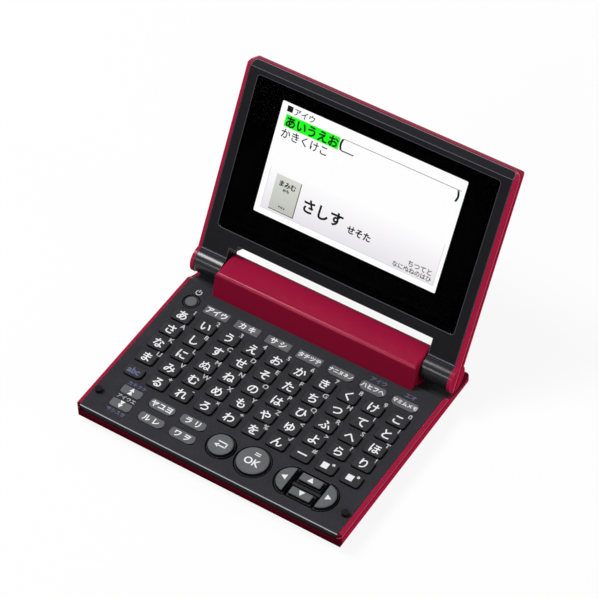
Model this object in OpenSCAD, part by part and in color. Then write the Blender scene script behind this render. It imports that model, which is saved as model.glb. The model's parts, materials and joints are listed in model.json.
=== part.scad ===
/* [Case] */
// Overall width of the case and of the lid
case_w = 109; // [106:0.5:120]
// Front to rear depth of the lower case
case_d = 85.8; // [84:0.2:92]
// Height of the case shell, from its underside to the keyboard cover
case_h = 8.5; // [8.3:0.1:10]
// Thickness of the moulded red shells
wall = 1.35; // [1.2:0.05:1.5]
// Radius of the rounded lower edges of the case
edge_r = 4; // [3.5:0.1:4.5]
// Radius of the case's corners seen from above
corner_r = 1.5; // [1:0.1:3]
// Height that the rubber feet stand out of the underside
foot_h = 0.4; // [0.2:0.1:0.8]
// Diameter of a rubber foot
foot_d = 7; // [5:0.5:8]
// Height of the dark front apron above the red lip
apron_h = 3; // [2.6:0.1:3.6]
// Radius of the apron's lower corners
apron_r = 2.4; // [1.5:0.1:2.6]
// Width of the small bevel along the top of the red rims
rim_bevel = 0.3; // [0.2:0.05:0.4]
// Gap left between moulded pieces that lie edge to edge
seam = 0.2; // [0.15:0.05:0.25]

/* [Keyboard cover] */
// Thickness of the keyboard cover
cover_t = 1.2; // [1:0.1:1.3]
// How far the apron sits behind the red lip
apron_step = 0.4; // [0.2:0.1:0.6]
// Depth of the shallow wells round the round keys and the cursor keys
well_depth = 0.3; // [0.2:0.05:0.4]
// Diameter of the two rubber bumpers
bumper_d = 2.6; // [2.2:0.1:3]
// Height of the bumpers above the cover
bumper_h = 1.6; // [1.2:0.1:1.7]
// Distance of the bumpers from the sides of the case
bumper_side = 3.7; // [3.5:0.1:4.5]
// Distance of the bumpers from the front edge
bumper_inset = 9; // [8:0.5:12]

/* [Keys] */
// Distance from the sides of the case to the middle of the outer syllable keys
keys_side = 9.5; // [9.3:0.1:9.8]
// Space between two syllable keys of a row
column_space = 2.8; // [2.4:0.1:3.4]
// Space between two rows of syllable keys
row_space = 2.4; // [2.2:0.1:2.8]
// Height of the syllable keys above the cover
syllable_rise = 1.1; // [0.8:0.1:1.3]
// Distance from the barrel's foot to the row of function keys
function_inset = 6.4; // [6.2:0.1:6.7]
// Distance from the front edge to the middle of the front group of keys
group_inset = 11.1; // [10.9:0.05:11.3]
// Number of rows from the first syllable row up to the function keys
function_rows = 1.03; // [1.01:0.01:1.05]
// Number of rows from the last syllable row down to the front group
group_rows = 1.5; // [1.48:0.01:1.53]
// Number of columns from the middle to the first function key
function_columns = 3.54; // [3.52:0.01:3.56]
// Number of columns between two function keys
function_step = 1.31; // [1.3:0.005:1.315]
// Space between two flat function keys
bar_space = 2.8; // [2.5:0.1:3.4]
// Depth of a flat function key
bar_d = 3.9; // [3.4:0.1:4]
// Width of an oval key
oval_w = 10.4; // [9.6:0.1:10.6]
// Depth of an oval key
oval_d = 4.1; // [3.6:0.1:4.2]
// Height of the flat and oval function keys above the cover
function_rise = 0.4; // [0.3:0.1:0.8]
// Diameter of the power key
power_d = 4.5; // [4:0.1:4.8]
// Distance of the power key from the left side of the case
power_side = 7.9; // [7.7:0.1:8.3]
// Width of a page key
page_w = 8.4; // [7.8:0.1:8.8]
// Depth of a page key
page_d = 3.7; // [3.2:0.1:3.8]
// Number of columns from the middle to the page keys
page_columns = 4.06; // [4.02:0.01:4.08]
// Distance between the two rows of the front group
front_pitch = 6.7; // [6.6:0.1:6.8]
// Number of columns from the middle to the first oval key
oval_columns = 2.77; // [2.74:0.01:2.78]
// Number of columns between two oval keys
oval_step = 1.3; // [1.26:0.01:1.31]
// Diameter of the small round key
back_d = 9; // [8.5:0.1:9.4]
// Diameter of the large round key
enter_d = 11.6; // [11:0.1:12]
// Number of columns from the middle to the large round key
enter_columns = 1.22; // [1.2:0.01:1.25]
// Number of columns between the two round keys
round_step = 1.32; // [1.29:0.01:1.33]
// Height of the round and cursor keys above the cover
round_rise = 1.2; // [0.8:0.1:1.4]
// Number of columns from the middle to the centre of the cursor keys
cursor_columns = 3.39; // [3.37:0.01:3.42]
// Radius of the half round cursor keys
cursor_r = 5.4; // [5:0.1:5.6]
// Width that a half round cursor key shows from its straight side
cursor_side_w = 4.8; // [4.4:0.1:5]
// Distance from the cursor keys' centre to the straight sides
cursor_inner = 6.6; // [6.4:0.1:7]
// Width of the upper and lower cursor keys
cursor_bar_w = 8.4; // [7.6:0.1:8.6]
// Depth of the upper and lower cursor keys
cursor_bar_d = 3.2; // [2.8:0.1:3.4]
// Width of the bevel round the top of a key
key_bevel = 0.3; // [0.15:0.05:0.35]
// Gap between a key and its hole in the cover
key_gap = 0.2; // [0.15:0.05:0.25]
// How far a key goes down
key_travel = 0.8; // [0.6:0.05:0.85]
// Width of the flange that keeps a key under the cover
flange_w = 0.6; // [0.45:0.05:0.65]
// Thickness of the key flange
flange_t = 0.6; // [0.5:0.05:0.7]
// Play between the flange and the cover
flange_gap = 0.1; // [0.05:0.05:0.15]
// Diameter of the plunger under a key
plunger_d = 2.4; // [2:0.1:2.6]

/* [Inside the case] */
// Thickness of the main circuit board
board_t = 1; // [0.8:0.1:1]
// Gap between the board and the case's floor
board_gap = 1.65; // [1.5:0.05:1.8]
// Thickness of the rubber key sheet
sheet_t = 0.6; // [0.5:0.05:0.7]
// Height of the rubber domes above the sheet
dome_h = 1; // [0.8:0.05:1]
// Diameter of the screws that close the case
screw_d = 1.6; // [1.4:0.1:2]
// Diameter of the dry cell
cell_d = 10.5; // [10:0.1:10.5]
// Length of the dry cell without its nub
cell_l = 43.5; // [42.5:0.1:44]
// Height of the cell's centre above the case's underside
cell_z = 8.4; // [8.3:0.1:8.9]

/* [Barrel and hinge] */
// Distance from the case's rear edge to the hinge axis
hinge_inset = 9.4; // [9.2:0.1:9.8]
// Height of the hinge axis above the keyboard cover
hinge_rise = 4.1; // [4:0.1:4.5]
// Radius of the lid's knuckles
knuckle_r = 5; // [4.8:0.1:5.2]
// Distance from the sides of the case to the barrel's ends
barrel_side = 12.7; // [12.5:0.1:13.4]
// Running gap between the barrel's ends and the knuckles
barrel_gap = 0.4; // [0.3:0.1:0.8]
// Height of the barrel above the keyboard cover
barrel_h = 9.5; // [9.3:0.1:10]
// Thickness of the barrel's wall
barrel_wall = 1.2; // [1:0.1:1.3]
// Diameter of the hinge shafts
shaft_d = 4; // [3:0.1:4.4]
// Radial running clearance of the hinge shafts
shaft_clear = 0.05; // [0.02:0.01:0.08]
// Radius of the hollow behind the keyboard that the knuckles turn in
scoop_r = 15; // [14.5:0.1:16]

/* [Lid] */
// Angle that the lid stands open at rest
lid_angle = 120; // [90:1:150]
// Distance from the hinge axis to the lid's free edge
lid_l = 79.3; // [78.6:0.1:80]
// Thickness of the lid
lid_t = 7.3; // [7.1:0.1:7.8]
// Gap between the cover and the closed lid
lid_gap = 1.8; // [1.75:0.05:2.2]
// Radius of the rounded edges of the lid's back
lid_edge_r = 3; // [2:0.1:3.5]
// Radius of the lid's free corners
lid_corner_r = 2.5; // [1.5:0.1:3.5]
// Depth and height of the bevel along the lid's free edge
bevel = 2.5; // [2:0.1:2.8]
// Distance from the hinge axis to the lid's lower edge between the knuckles
lid_start = 11.3; // [11.2:0.1:12]
// Distance from the sides of the lid to the glossy lens
lens_side = 5.5; // [5.1:0.1:7]
// Distance from the lid's free edge to the lens
lens_edge = 4.9; // [4.8:0.1:6]
// Distance from the hinge axis to the lens
lens_start = 15.6; // [15.4:0.1:16.2]
// Thickness of the lens
lens_t = 0.8; // [0.6:0.1:1]
// How far the lens lies below the bezel
lens_inset = 0.25; // [0.1:0.05:0.4]
// Distance from the sides of the lens to the picture
screen_side = 11.4; // [10.8:0.1:13]
// Distance from the lens's upper edge to the picture
screen_edge = 5.3; // [5:0.1:6.5]
// Distance from the lens's lower edge to the picture
screen_foot = 10.8; // [10.4:0.1:12]

/* [Hidden] */
$fn = 48;

red = "#8c1430";
dark = "#34353a";
grey = "#6b6d72";
eps = 0.01;

// Levels of the case, up from the floor
case_z = foot_h;
plate_z = case_z + case_h;
cover_z = plate_z - cover_t;
floor_z = case_z + wall;
board_z = floor_z + board_gap;
sheet_z = board_z + board_t;
lip_z = plate_z - apron_h;

// Front, rear and sides of the case
front_y = -case_d / 2;
rear_y = case_d / 2;
cover_half = case_w / 2 - wall - seam;

// Hinge axis, and the hollow that the knuckles turn in
hinge_y = rear_y - hinge_inset;
hinge_z = plate_z + hinge_rise;
scoop_behind = 3;
scoop_below = 8.1;
scoop_y = hinge_y + scoop_behind;
scoop_z = hinge_z + scoop_r - scoop_below;

// Barrel outline
barrel_half = case_w / 2 - barrel_side;
barrel_ahead = 9.9;
barrel_front_y = hinge_y - barrel_ahead;
barrel_lean = 2.5;
barrel_top_z = plate_z + barrel_h;
barrel_crease_r = 1.6;
barrel_rear_r = 3;
barrel_rear_inset = 3.3;
barrel_rear_y = rear_y - barrel_rear_inset;
rear_step = 5.95;
rear_step_z = case_z + rear_step;
barrel_end_r = 1.2;
barrel_reach = 4;
end_wall_y = scoop_y - 9.2;
end_wall_z = case_z + 3.4;
bore_clear = 0.1;

// Syllable keys
columns = 10;
rows = 5;
// Places on the key grid fall on whole hundredths of a millimetre
function snap(v) = round(v * 100) / 100;
column_pitch = snap((case_w - 2 * keys_side) / (columns - 1));
function_row_y = barrel_front_y - function_inset;
group_y = front_y + group_inset;
row_pitch = snap((function_row_y - group_y) / (function_rows + rows - 1 + group_rows));
syllable_w = column_pitch - column_space;
syllable_d = row_pitch - row_space;
function column_x(c) = (c - (columns - 1) / 2) * column_pitch;
function row_y(r) = snap(function_row_y - (function_rows + r) * row_pitch);

// Places of the other keys
bar_w = snap(function_step * column_pitch - bar_space);
function function_x(i) = snap((i * function_step - function_columns) * column_pitch);
group_rear_y = group_y + front_pitch / 2;
group_front_y = group_y - front_pitch / 2;
page_x = snap(page_columns * column_pitch);
enter_x = snap(enter_columns * column_pitch);
back_x = enter_x - snap(round_step * column_pitch);
cursor_x = snap(cursor_columns * column_pitch);
function oval_place(i) = [snap(((i % 2) * oval_step - oval_columns) * column_pitch),
    i < 2 ? group_rear_y : group_front_y];
power_rise_y = 0.1;
power_place = [power_side - case_w / 2, function_row_y + power_rise_y];
plunger_gap = 0.1;
symbol_wider = 0.2;
symbol_flatter = 0.4;
syllable_r = 0.9;
symbol_r = 1.6;
page_r = 1.1;
bar_r = 0.4;

// Wells round the keys
cursor_well = 0.8;
back_well = 0.7;
enter_well = 0.6;
well_r = cursor_r + cursor_well;

// Screws
head_d = screw_d + 1.4;
head_h = 1;
head_floor = 1;
screw_clear = 0.2;
case_boss_d = head_d + 2;
cover_boss_d = screw_d + 1.8;
boss_split_z = sheet_z + 1.2;
front_screw = [case_w / 2 - 6.3, front_y + 5.3];
rear_screw = [case_w / 2 - 5.1, function_row_y + 5.1];
case_screw_places = [for (sx = [-1, 1]) for (p = [front_screw, rear_screw]) [sx * p[0], p[1]]];
board_screw_d = 1.2;
board_head_h = 0.8;
slot_w = 0.4;
board_boss_d = 2.6;
front_board_screw = [snap(2.05 * column_pitch), group_rear_y + 3.45];
rear_board_screw = [snap(2.5 * column_pitch), function_row_y + 4.1];
board_screw_places = [for (sx = [-1, 1]) for (p = [front_board_screw, rear_board_screw])
    [sx * p[0], p[1]]];
post_d = 3;
post_places = [for (sx = [-1, 1]) for (y = [front_y + 12, function_row_y - 4.5])
    [sx * (case_w / 2 - 18.5), y]];

// Board, key sheet, flat cable and feet
board_side = 3;
board_front = 3.6;
board_rear = 6.3;
sheet_side = 4;
sheet_front = 3.9;
sheet_rear = 2.9;
board_r = 1.5;
hole_clear = 0.6;
dome_wall = 0.6;
dome_clear = 0.4;
chip_w = 14;
chip_t = 1.2;
chip_place = [-chip_w / 2, -4];
cable_t = 0.2;
cable_w = 7;
cable_side = 2.8;
cable_from = 4.5;
foot_seat = 0.5;
foot_places = [for (sx = [-1, 1]) for (y = [front_y + 9.5, rear_y - 11]) [sx * (case_w / 2 - 13.5), y]];
bumper_peg_d = 1.4;
bumper_places = [for (sx = [-1, 1]) [sx * (case_w / 2 - bumper_side), front_y + bumper_inset]];

// Battery compartment
cell_ahead = 0.7;
cell_y = hinge_y - cell_ahead;
cell_centre_z = case_z + cell_z;
nub_l = 1;
nub_d = 3.8;
contact_t = 0.5;
contact_w = 7.4;
spring_l = 3;
spring_plate_d = cell_d - 1.5;
spring_plate_t = 0.4;
spring_wide_d = 7;
spring_thin_d = 4;
tray_wall = 1;
tray_half = cell_l / 2 + (nub_l + contact_t + spring_l) / 2 + tray_wall;
tray_clear = 0.2;
tray_z = floor_z + 1.2;
tray_foot_w = 3;
tray_foot_out = 1.6;
cell_x = (spring_l - nub_l - contact_t) / 2;
door_half = tray_half - tray_wall - 0.4;
door_front_y = cell_y - cell_d / 2 + 0.2;
door_wide_y = rear_y - edge_r - 1;
door_rail_end_y = door_wide_y + 1;
door_top_z = case_z + 3.9;
door_rail = 1.1;
door_gap = 0.2;
rail_gap = 0.1;
rail_t = 0.8;

// Steel hinge parts
bracket_below = 3.2;
bracket_ahead = 4.5;
bracket_z = hinge_z - bracket_below;
bracket_clear = 0.1;
shaft_hold = 11;
shaft_in = barrel_half - shaft_hold;
shaft_out = cover_half - 1.5;

// Lid levels in the lid's own frame: the origin is the hinge axis, y runs up the lid
// and z out of its inner face
inner_z = hinge_rise - lid_gap;
back_z = inner_z - lid_t;
bezel_t = 1.6;
lens_top_z = inner_z - lens_inset;
mask_t = 0.1;
mask_z = lens_top_z - lens_t - mask_t;
ledge_z = inner_z - bezel_t;
lens_gap = 0.1;
lens_corner_r = 1.2;
lens_w = case_w - 2 * lens_side;
lens_h = lid_l - lens_edge - lens_start;
screen_w = lens_w - 2 * screen_side;
screen_h = lens_h - screen_edge - screen_foot;
screen_start = lens_start + screen_foot;
window_gap = 0.8;
lip_top_z = inner_z - bevel - 0.1;
lip_r = 1.8;
panel_t = 1.6;
panel_border = 3;
backlight_t = 1.5;
shell_floor_z = back_z + wall;
sleeve_wall = 1.05;
cable_guard_s = 9.4;
cable_guard_w = 3.2;
knuckle_in = barrel_half + barrel_gap;
knuckle_out = cover_half;
knuckle_w = knuckle_out - knuckle_in;
cap_r = knuckle_r + 0.2;
cap_room = 5;
arm_wall = 1.2;
groove = 0.2;
lid_screw_side = 2.4;
lid_head_h = 0.55;
lid_screw_end = 3;
lid_screw_rows = [lens_start + lid_screw_end, lens_start + lens_h - lid_screw_end];
lid_screw_places = [for (sx = [-1, 1]) for (s = lid_screw_rows) [sx * (lens_w / 2 - lid_screw_side), s]];
lid_boss_z = ledge_z - 1;
lid_board_z = ledge_z - 1.9;
lid_board_t = 0.8;
lid_board_w = 44;
lid_board_h = 9;
lid_board_start = lens_start - 1.5;
lid_stud_d = 2.6;
lid_stud_x = lid_board_w / 2 - 5;
lid_stud_s = lens_start + 4.5;
rib_w = 1;
rib_x = screen_w / 2 - 12.6;
lip_wall = 1.2;
lid_cable_w = 3.4;
lid_cable_start = lid_start + 1.7;
lid_cable_out = cover_half - 2.95;
lid_cable_in = 16;

// Points along an arc, from one angle to another
arc_steps = 6;
function arc(c, r, a0, a1) = [for (i = [0 : arc_steps]) let (a = a0 + (a1 - a0) * i / arc_steps)
    c + r * [cos(a), sin(a)]];

module rounded_rect(w, d, r) {
    square([w - 2 * r, d], center = true);
    square([w, d - 2 * r], center = true);
    for (sx = [-1, 1]) for (sy = [-1, 1])
        translate([sx * (w / 2 - r), sy * (d / 2 - r)]) circle(r);
}

// A slab with round corners, standing on z
module slab(w, d, r, z, h) {
    translate([0, 0, z]) linear_extrude(h) rounded_rect(w, d, r);
}

// A section drawn in y and z, run along x between two places
module along_x(x0, x1) {
    translate([x0, 0, 0]) rotate([90, 0, 90]) linear_extrude(x1 - x0) children();
}

// A section drawn in x and z, run along y between two places
module along_y(y0, y1) {
    translate([0, y1, 0]) rotate([90, 0, 0]) linear_extrude(y1 - y0) children();
}

// The section of a tray with rounded lower edges
module tray_section(w, h, r) {
    translate([-w / 2 + r, 0]) square([w - 2 * r, h]);
    translate([-w / 2, r]) square([w, h - r]);
    intersection() {
        for (sx = [-1, 1]) translate([sx * (w / 2 - r), r]) circle(r, $fn = 96);
        translate([-w / 2, 0]) square([w, r]);
    }
}

// The solid that fills the lower case, drawn in by an inset
module case_block(inset, top) {
    h = top - case_z - inset;
    r = edge_r - inset;
    intersection() {
        translate([0, 0, case_z + inset])
            along_x(-case_w / 2 + inset, case_w / 2 - inset) tray_section(case_d - 2 * inset, h, r);
        translate([0, 0, case_z + inset])
            along_y(front_y + inset, rear_y - inset) tray_section(case_w - 2 * inset, h, r);
        slab(case_w - 2 * inset, case_d - 2 * inset, max(corner_r - inset, 0.4), case_z + inset, h);
    }
}

// The round hollow across the case that the knuckles turn in
module scoop(extra, x0, x1) {
    translate([x0, scoop_y, scoop_z]) rotate([0, 90, 0])
        cylinder(r = scoop_r + extra, h = x1 - x0, $fn = 128);
}

// Outline of each kind of key, grown by a margin
module key_outline(kind, grow) {
    size = cap_size(kind) + 2 * [grow, grow];
    if (kind == "cursor_right") cursor_side(grow);
    else if (kind == "cursor_left") mirror([1, 0]) cursor_side(grow);
    else if (is_round(kind)) circle(size[0] / 2, $fn = 64);
    else rounded_rect(size[0], size[1], cap_corner(kind) + grow);
}

// The right half round cursor key, seen from above, with its straight side at x = 0
module cursor_side(grow) {
    intersection() {
        translate([cursor_side_w - cursor_r, 0]) circle(cursor_r + grow, $fn = 64);
        translate([-grow, -cursor_r - grow]) square([2 * cursor_r, 2 * (cursor_r + grow)]);
    }
}

// Which side a key bulges to: the half round cursor keys have one
function bulge(kind) = kind == "cursor_right" ? 1 : kind == "cursor_left" ? -1 : 0;
function is_round(kind) = kind == "power" || kind == "back" || kind == "enter";

// Where a key's plunger stands under its cap
function plunger_shift(kind) = bulge(kind) * (cursor_side_w / 2 - 0.2);

// Width and depth of a key's cap, and the radius of its corners
function cap_size(kind) = kind == "syllable" ? [syllable_w, syllable_d]
    : kind == "symbol" ? [syllable_w + symbol_wider, syllable_d - symbol_flatter]
    : kind == "bar" ? [bar_w, bar_d]
    : kind == "oval" ? [oval_w, oval_d]
    : kind == "page" ? [page_w, page_d]
    : kind == "power" ? [power_d, power_d]
    : kind == "back" ? [back_d, back_d]
    : kind == "enter" ? [enter_d, enter_d]
    : bulge(kind) != 0 ? [2 * cursor_r, 2 * cursor_r]
    : [cursor_bar_w, cursor_bar_d];
function cap_corner(kind) = kind == "syllable" ? syllable_r : kind == "symbol" ? symbol_r
    : kind == "oval" ? oval_d / 2 - eps : kind == "page" ? page_r : bar_r;

// The block that bevels a cap's top edges
module cap_bevel(kind, z0, z1) {
    size = cap_size(kind);
    h = z1 - z0 - key_bevel;
    if (is_round(kind) || bulge(kind) != 0) {
        r = size[0] / 2;
        translate([bulge(kind) * (cursor_side_w - cursor_r), 0, z0]) {
            cylinder(r = r + eps, h = h, $fn = 64);
            translate([0, 0, h]) cylinder(r1 = r, r2 = r - key_bevel, h = key_bevel, $fn = 64);
        }
    } else intersection() {
        along_x(-size[0], size[0]) bevelled_section(size[1], z0, z1);
        along_y(-size[1], size[1]) bevelled_section(size[0], z0, z1);
    }
}

module bevelled_section(w, z0, z1) {
    polygon([[-w / 2, z0], [w / 2, z0], [w / 2, z1 - key_bevel], [w / 2 - key_bevel, z1],
        [-w / 2 + key_bevel, z1], [-w / 2, z1 - key_bevel]]);
}

// One key: its cap, the flange under the cover and the plunger over the rubber collar
module key(kind, place, rise) {
    flange_top_z = cover_z - flange_gap;
    plunger_z = sheet_z + key_travel + plunger_gap;
    translate([place[0], place[1], 0]) {
        intersection() {
            translate([0, 0, flange_top_z - eps])
                linear_extrude(plate_z + rise - flange_top_z + eps) key_outline(kind, 0);
            cap_bevel(kind, flange_top_z - eps, plate_z + rise);
        }
        translate([0, 0, flange_top_z - flange_t]) linear_extrude(flange_t) key_outline(kind, flange_w);
        translate([plunger_shift(kind), 0, plunger_z])
            cylinder(d = plunger_d, h = flange_top_z - flange_t - plunger_z + eps);
    }
}

// Every key that isn't a syllable key: kind, place and height above the cover
other_keys = concat(
    [["power", power_place, function_rise]],
    [for (i = [0 : 3]) ["bar", [function_x(i), function_row_y], function_rise]],
    [for (i = [4 : 6]) ["oval", [function_x(i), function_row_y], function_rise]],
    [["page", [-page_x, group_rear_y], function_rise], ["page", [-page_x, group_front_y], function_rise]],
    [for (i = [0 : 3]) ["oval", oval_place(i), function_rise]],
    [["back", [back_x, group_y], round_rise], ["enter", [enter_x, group_y], round_rise]],
    [["cursor_left", [cursor_x - cursor_inner, group_y], round_rise],
        ["cursor_right", [cursor_x + cursor_inner, group_y], round_rise],
        ["cursor_bar", [cursor_x, group_rear_y], round_rise],
        ["cursor_bar", [cursor_x, group_front_y], round_rise]],
    [["symbol", [column_x(0), row_y(rows - 1)], syllable_rise]]);

// The syllable keys of one row; the symbol key takes the first place of the last row
function row_places(r) = [for (c = [(r == rows - 1 ? 1 : 0) : columns - 1]) [column_x(c), row_y(r)]];
syllable_keys = [for (r = [0 : rows - 1]) for (p = row_places(r)) ["syllable", p, syllable_rise]];
all_keys = concat(other_keys, syllable_keys);

module lower_case() {
    color(red) difference() {
        union() {
            difference() {
                case_block(0, plate_z);
                case_block(wall, plate_z + 5);
                // The front wall stops at the lip
                translate([0, 0, lip_z]) along_y(front_y - 1, front_y + 2 * wall)
                    tray_section(2 * (cover_half + seam), case_h, apron_r);
                for (sx = [-1, 1]) translate([sx * case_w / 2, 0, plate_z]) edge_cutter(rim_bevel, case_d);
                // The hollow for the knuckles, and the seat of the barrel between them
                scoop(0, -case_w, -barrel_half - seam);
                scoop(0, barrel_half + seam, case_w);
                translate([-barrel_half - seam - eps, scoop_y, rear_step_z])
                    cube([2 * (barrel_half + seam + eps), case_d, case_h]);
            }
            for (p = case_screw_places) intersection() {
                translate([p[0], p[1], case_z]) cylinder(d = case_boss_d, h = boss_split_z - case_z);
                case_block(wall / 2, plate_z);
            }
            for (p = post_places) translate([p[0], p[1], floor_z - eps])
                cylinder(d = post_d, h = board_gap + eps);
        }
        battery_opening(door_gap);
        for (p = case_screw_places) {
            translate([p[0], p[1], case_z - 1])
                cylinder(d = head_d + screw_clear, h = 1 + floor_z + head_floor - case_z);
            translate([p[0], p[1], case_z]) cylinder(d = screw_d + screw_clear, h = case_h);
        }
        for (p = foot_places) translate([p[0], p[1], case_z - 1]) cylinder(d = foot_d, h = 1 + foot_seat);
    }
}

// A prism that takes the corner off an edge that runs along y
module edge_cutter(w, length) {
    rotate([0, 45, 0]) cube([w * sqrt(2), length + 2, w * sqrt(2)], center = true);
}

// The opening under the cell, which runs out through the rear wall's rounded foot
module battery_opening(gap) {
    wide = door_half + door_rail + gap + seam;
    translate([-door_half - gap, door_front_y - gap, case_z - 1])
        cube([2 * (door_half + gap), case_d, door_top_z + gap - case_z + 1]);
    translate([-wide, door_wide_y - gap, case_z - 1])
        cube([2 * wide, case_d, door_top_z + gap - case_z + 1]);
}

module battery_door() {
    color(red) {
        intersection() {
            difference() {
                case_block(0, plate_z);
                case_block(wall, plate_z);
            }
            battery_opening(0);
        }
        // Side rails that ride above the case's floor
        for (sx = [-1, 1]) mirror([sx > 0 ? 0 : 1, 0, 0]) {
            translate([door_half - door_rail, door_front_y, floor_z - eps])
                cube([door_rail, door_rail_end_y - door_front_y, rail_gap + rail_t + eps]);
            translate([door_half - door_rail, door_front_y, floor_z + rail_gap])
                cube([2 * door_rail, door_rail_end_y - door_front_y, rail_t]);
        }
    }
}

module keyboard_cover() {
    apron_y = front_y + apron_step;
    saddle_w = cover_half - barrel_half - seam;
    saddle_lead = 3;
    color(dark) difference() {
        union() {
            // Top plate
            translate([-cover_half, apron_y, cover_z])
                cube([2 * cover_half, barrel_front_y + barrel_wall + 0.4 - apron_y, cover_t]);
            for (sx = [-1, 1])
                translate([sx * (cover_half - saddle_w / 2), barrel_front_y, cover_z + cover_t / 2])
                    cube([saddle_w, 2 * saddle_lead, cover_t], center = true);
            // Front apron
            translate([0, 0, lip_z + seam]) along_y(apron_y, apron_y + cover_t)
                tray_section(2 * cover_half, apron_h - seam, apron_r - seam);
            // Saddles under the knuckles
            for (sx = [-1, 1]) saddle(sx);
            // Bosses for the screws
            for (p = case_screw_places) translate([p[0], p[1], boss_split_z])
                cylinder(d = cover_boss_d, h = cover_z - boss_split_z + eps);
            for (p = board_screw_places) translate([p[0], p[1], sheet_z])
                cylinder(d = board_boss_d, h = cover_z - sheet_z + eps);
        }
        scoop(0, -case_w, -barrel_half - seam);
        scoop(0, barrel_half + seam, case_w);
        // The apron's top edge is broken
        translate([0, apron_y, plate_z]) rotate([0, 0, 90]) edge_cutter(0.2, case_w);
        for (k = all_keys) translate([k[1][0], k[1][1], cover_z - eps])
            linear_extrude(cover_t + 2 * eps) key_outline(k[0], key_gap);
        key_wells();
        for (p = bumper_places) translate([p[0], p[1], cover_z - 1])
            cylinder(d = bumper_peg_d, h = cover_t + 2);
        for (p = case_screw_places) translate([p[0], p[1], boss_split_z - eps])
            cylinder(d = screw_d, h = cover_z - boss_split_z);
        for (p = board_screw_places) translate([p[0], p[1], sheet_z - eps])
            cylinder(d = board_screw_d, h = cover_z - sheet_z);
    }
}

// The curved skin under a knuckle, from the plate down and back to the rear wall
module saddle(side) {
    x0 = side > 0 ? barrel_half + seam : -cover_half;
    intersection() {
        scoop(cover_t, x0, x0 + cover_half - barrel_half - seam);
        translate([x0, barrel_front_y + barrel_wall, case_z])
            cube([cover_half - barrel_half - seam, rear_y - wall - seam - barrel_front_y - barrel_wall,
                case_h]);
    }
}

// The shallow wells in the cover round the round keys, the cursor keys and the power key
module key_wells() {
    translate([0, 0, plate_z - well_depth]) linear_extrude(well_depth + 1) {
        translate([back_x, group_y]) circle(back_d / 2 + back_well, $fn = 64);
        translate([enter_x, group_y]) circle(enter_d / 2 + enter_well, $fn = 64);
        translate([back_x, group_y - back_d / 2 - back_well])
            square([enter_x - back_x, back_d + 2 * back_well]);
        translate([cursor_x - cursor_inner - cursor_side_w + cursor_r, group_y]) circle(well_r, $fn = 64);
        translate([cursor_x + cursor_inner + cursor_side_w - cursor_r, group_y]) circle(well_r, $fn = 64);
        translate([cursor_x - cursor_inner, group_y - well_r]) square([2 * cursor_inner, 2 * well_r]);
        translate(power_place) circle(power_d / 2 + enter_well);
    }
}

// The barrel's outline in y and z, drawn in by an inset
function barrel_outline(inset) = let (
        low = plate_z - (inset > 0 ? barrel_reach : 0),
        slope = barrel_lean / barrel_h,
        foot_y = barrel_front_y + inset * sqrt(1 + slope * slope) - slope * (plate_z - low),
        crease = [barrel_front_y + barrel_lean + barrel_crease_r, barrel_top_z - barrel_crease_r],
        rear = [barrel_rear_y - barrel_rear_r, barrel_top_z - barrel_rear_r],
        heel_y = rear_y - inset * 1.02)
    concat([[foot_y, low]],
        arc(crease, barrel_crease_r - inset, 165, 90),
        arc(rear, barrel_rear_r - inset, 90, 12),
        [[heel_y, rear_step_z - (inset > 0 ? barrel_reach : 0)]],
        inset > 0 ? [] : [[rear_y - wall, rear_step_z], [rear_y - wall, plate_z]]);

module barrel_housing() {
    inner = barrel_half - barrel_wall;
    color(red) difference() {
        union() {
            intersection() {
                along_x(-barrel_half, barrel_half) polygon(barrel_outline(0));
                slab(2 * barrel_half, 2 * (rear_y + 1), barrel_end_r, rear_step_z - 1, case_h + barrel_h);
                translate([0, 0, barrel_top_z]) mirror([0, 0, 1]) along_y(0, rear_y + 1)
                    tray_section(2 * barrel_half, case_h + barrel_h, barrel_end_r);
            }
            // End walls reach down beside the saddles
            for (sx = [-1, 1]) translate([sx > 0 ? inner : -barrel_half, end_wall_y, end_wall_z])
                cube([barrel_wall, rear_y - wall - seam - end_wall_y, hinge_z - end_wall_z]);
        }
        along_x(-inner, inner) polygon(barrel_outline(barrel_wall));
        for (sx = [-1, 1]) hinge_line(shaft_d / 2 + bore_clear, sx * (inner - 1), sx * (barrel_half + 1));
    }
}

// A cylinder on the hinge axis between two places
module hinge_line(r, x0, x1) {
    translate([min(x0, x1), hinge_y, hinge_z]) rotate([0, 90, 0]) cylinder(r = r, h = abs(x1 - x0));
}

module battery_tray() {
    inner = tray_half - tray_wall;
    r = cell_d / 2 + tray_clear;
    color("#1c1c1e") {
        difference() {
            cradle(tray_half, r + tray_wall, tray_z);
            cradle(inner, r, tray_z - 1);
        }
        // Feet beside the door
        for (sx = [-1, 1]) mirror([sx > 0 ? 0 : 1, 0, 0]) {
            translate([inner, cell_y - r, tray_z])
                cube([tray_foot_w + tray_foot_out, 2 * r, cell_centre_z - tray_z]);
            translate([inner + tray_foot_out, cell_y - r, floor_z])
                cube([tray_foot_w, 2 * r, cell_centre_z - floor_z]);
        }
    }
}

// An arched block over the cell, open below
module cradle(half, r, z) {
    along_x(-half, half) translate([cell_y, 0]) {
        intersection() {
            translate([0, cell_centre_z]) circle(r, $fn = 96);
            translate([-r, cell_centre_z]) square([2 * r, r]);
        }
        translate([-r, z]) square([2 * r, cell_centre_z - z]);
    }
}

module battery_cell() {
    color("#b9bcc0") translate([cell_x - cell_l / 2, cell_y, cell_centre_z]) rotate([0, 90, 0]) {
        cylinder(d = cell_d, h = cell_l);
        cylinder(d = nub_d, h = cell_l + nub_l);
    }
}

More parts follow.
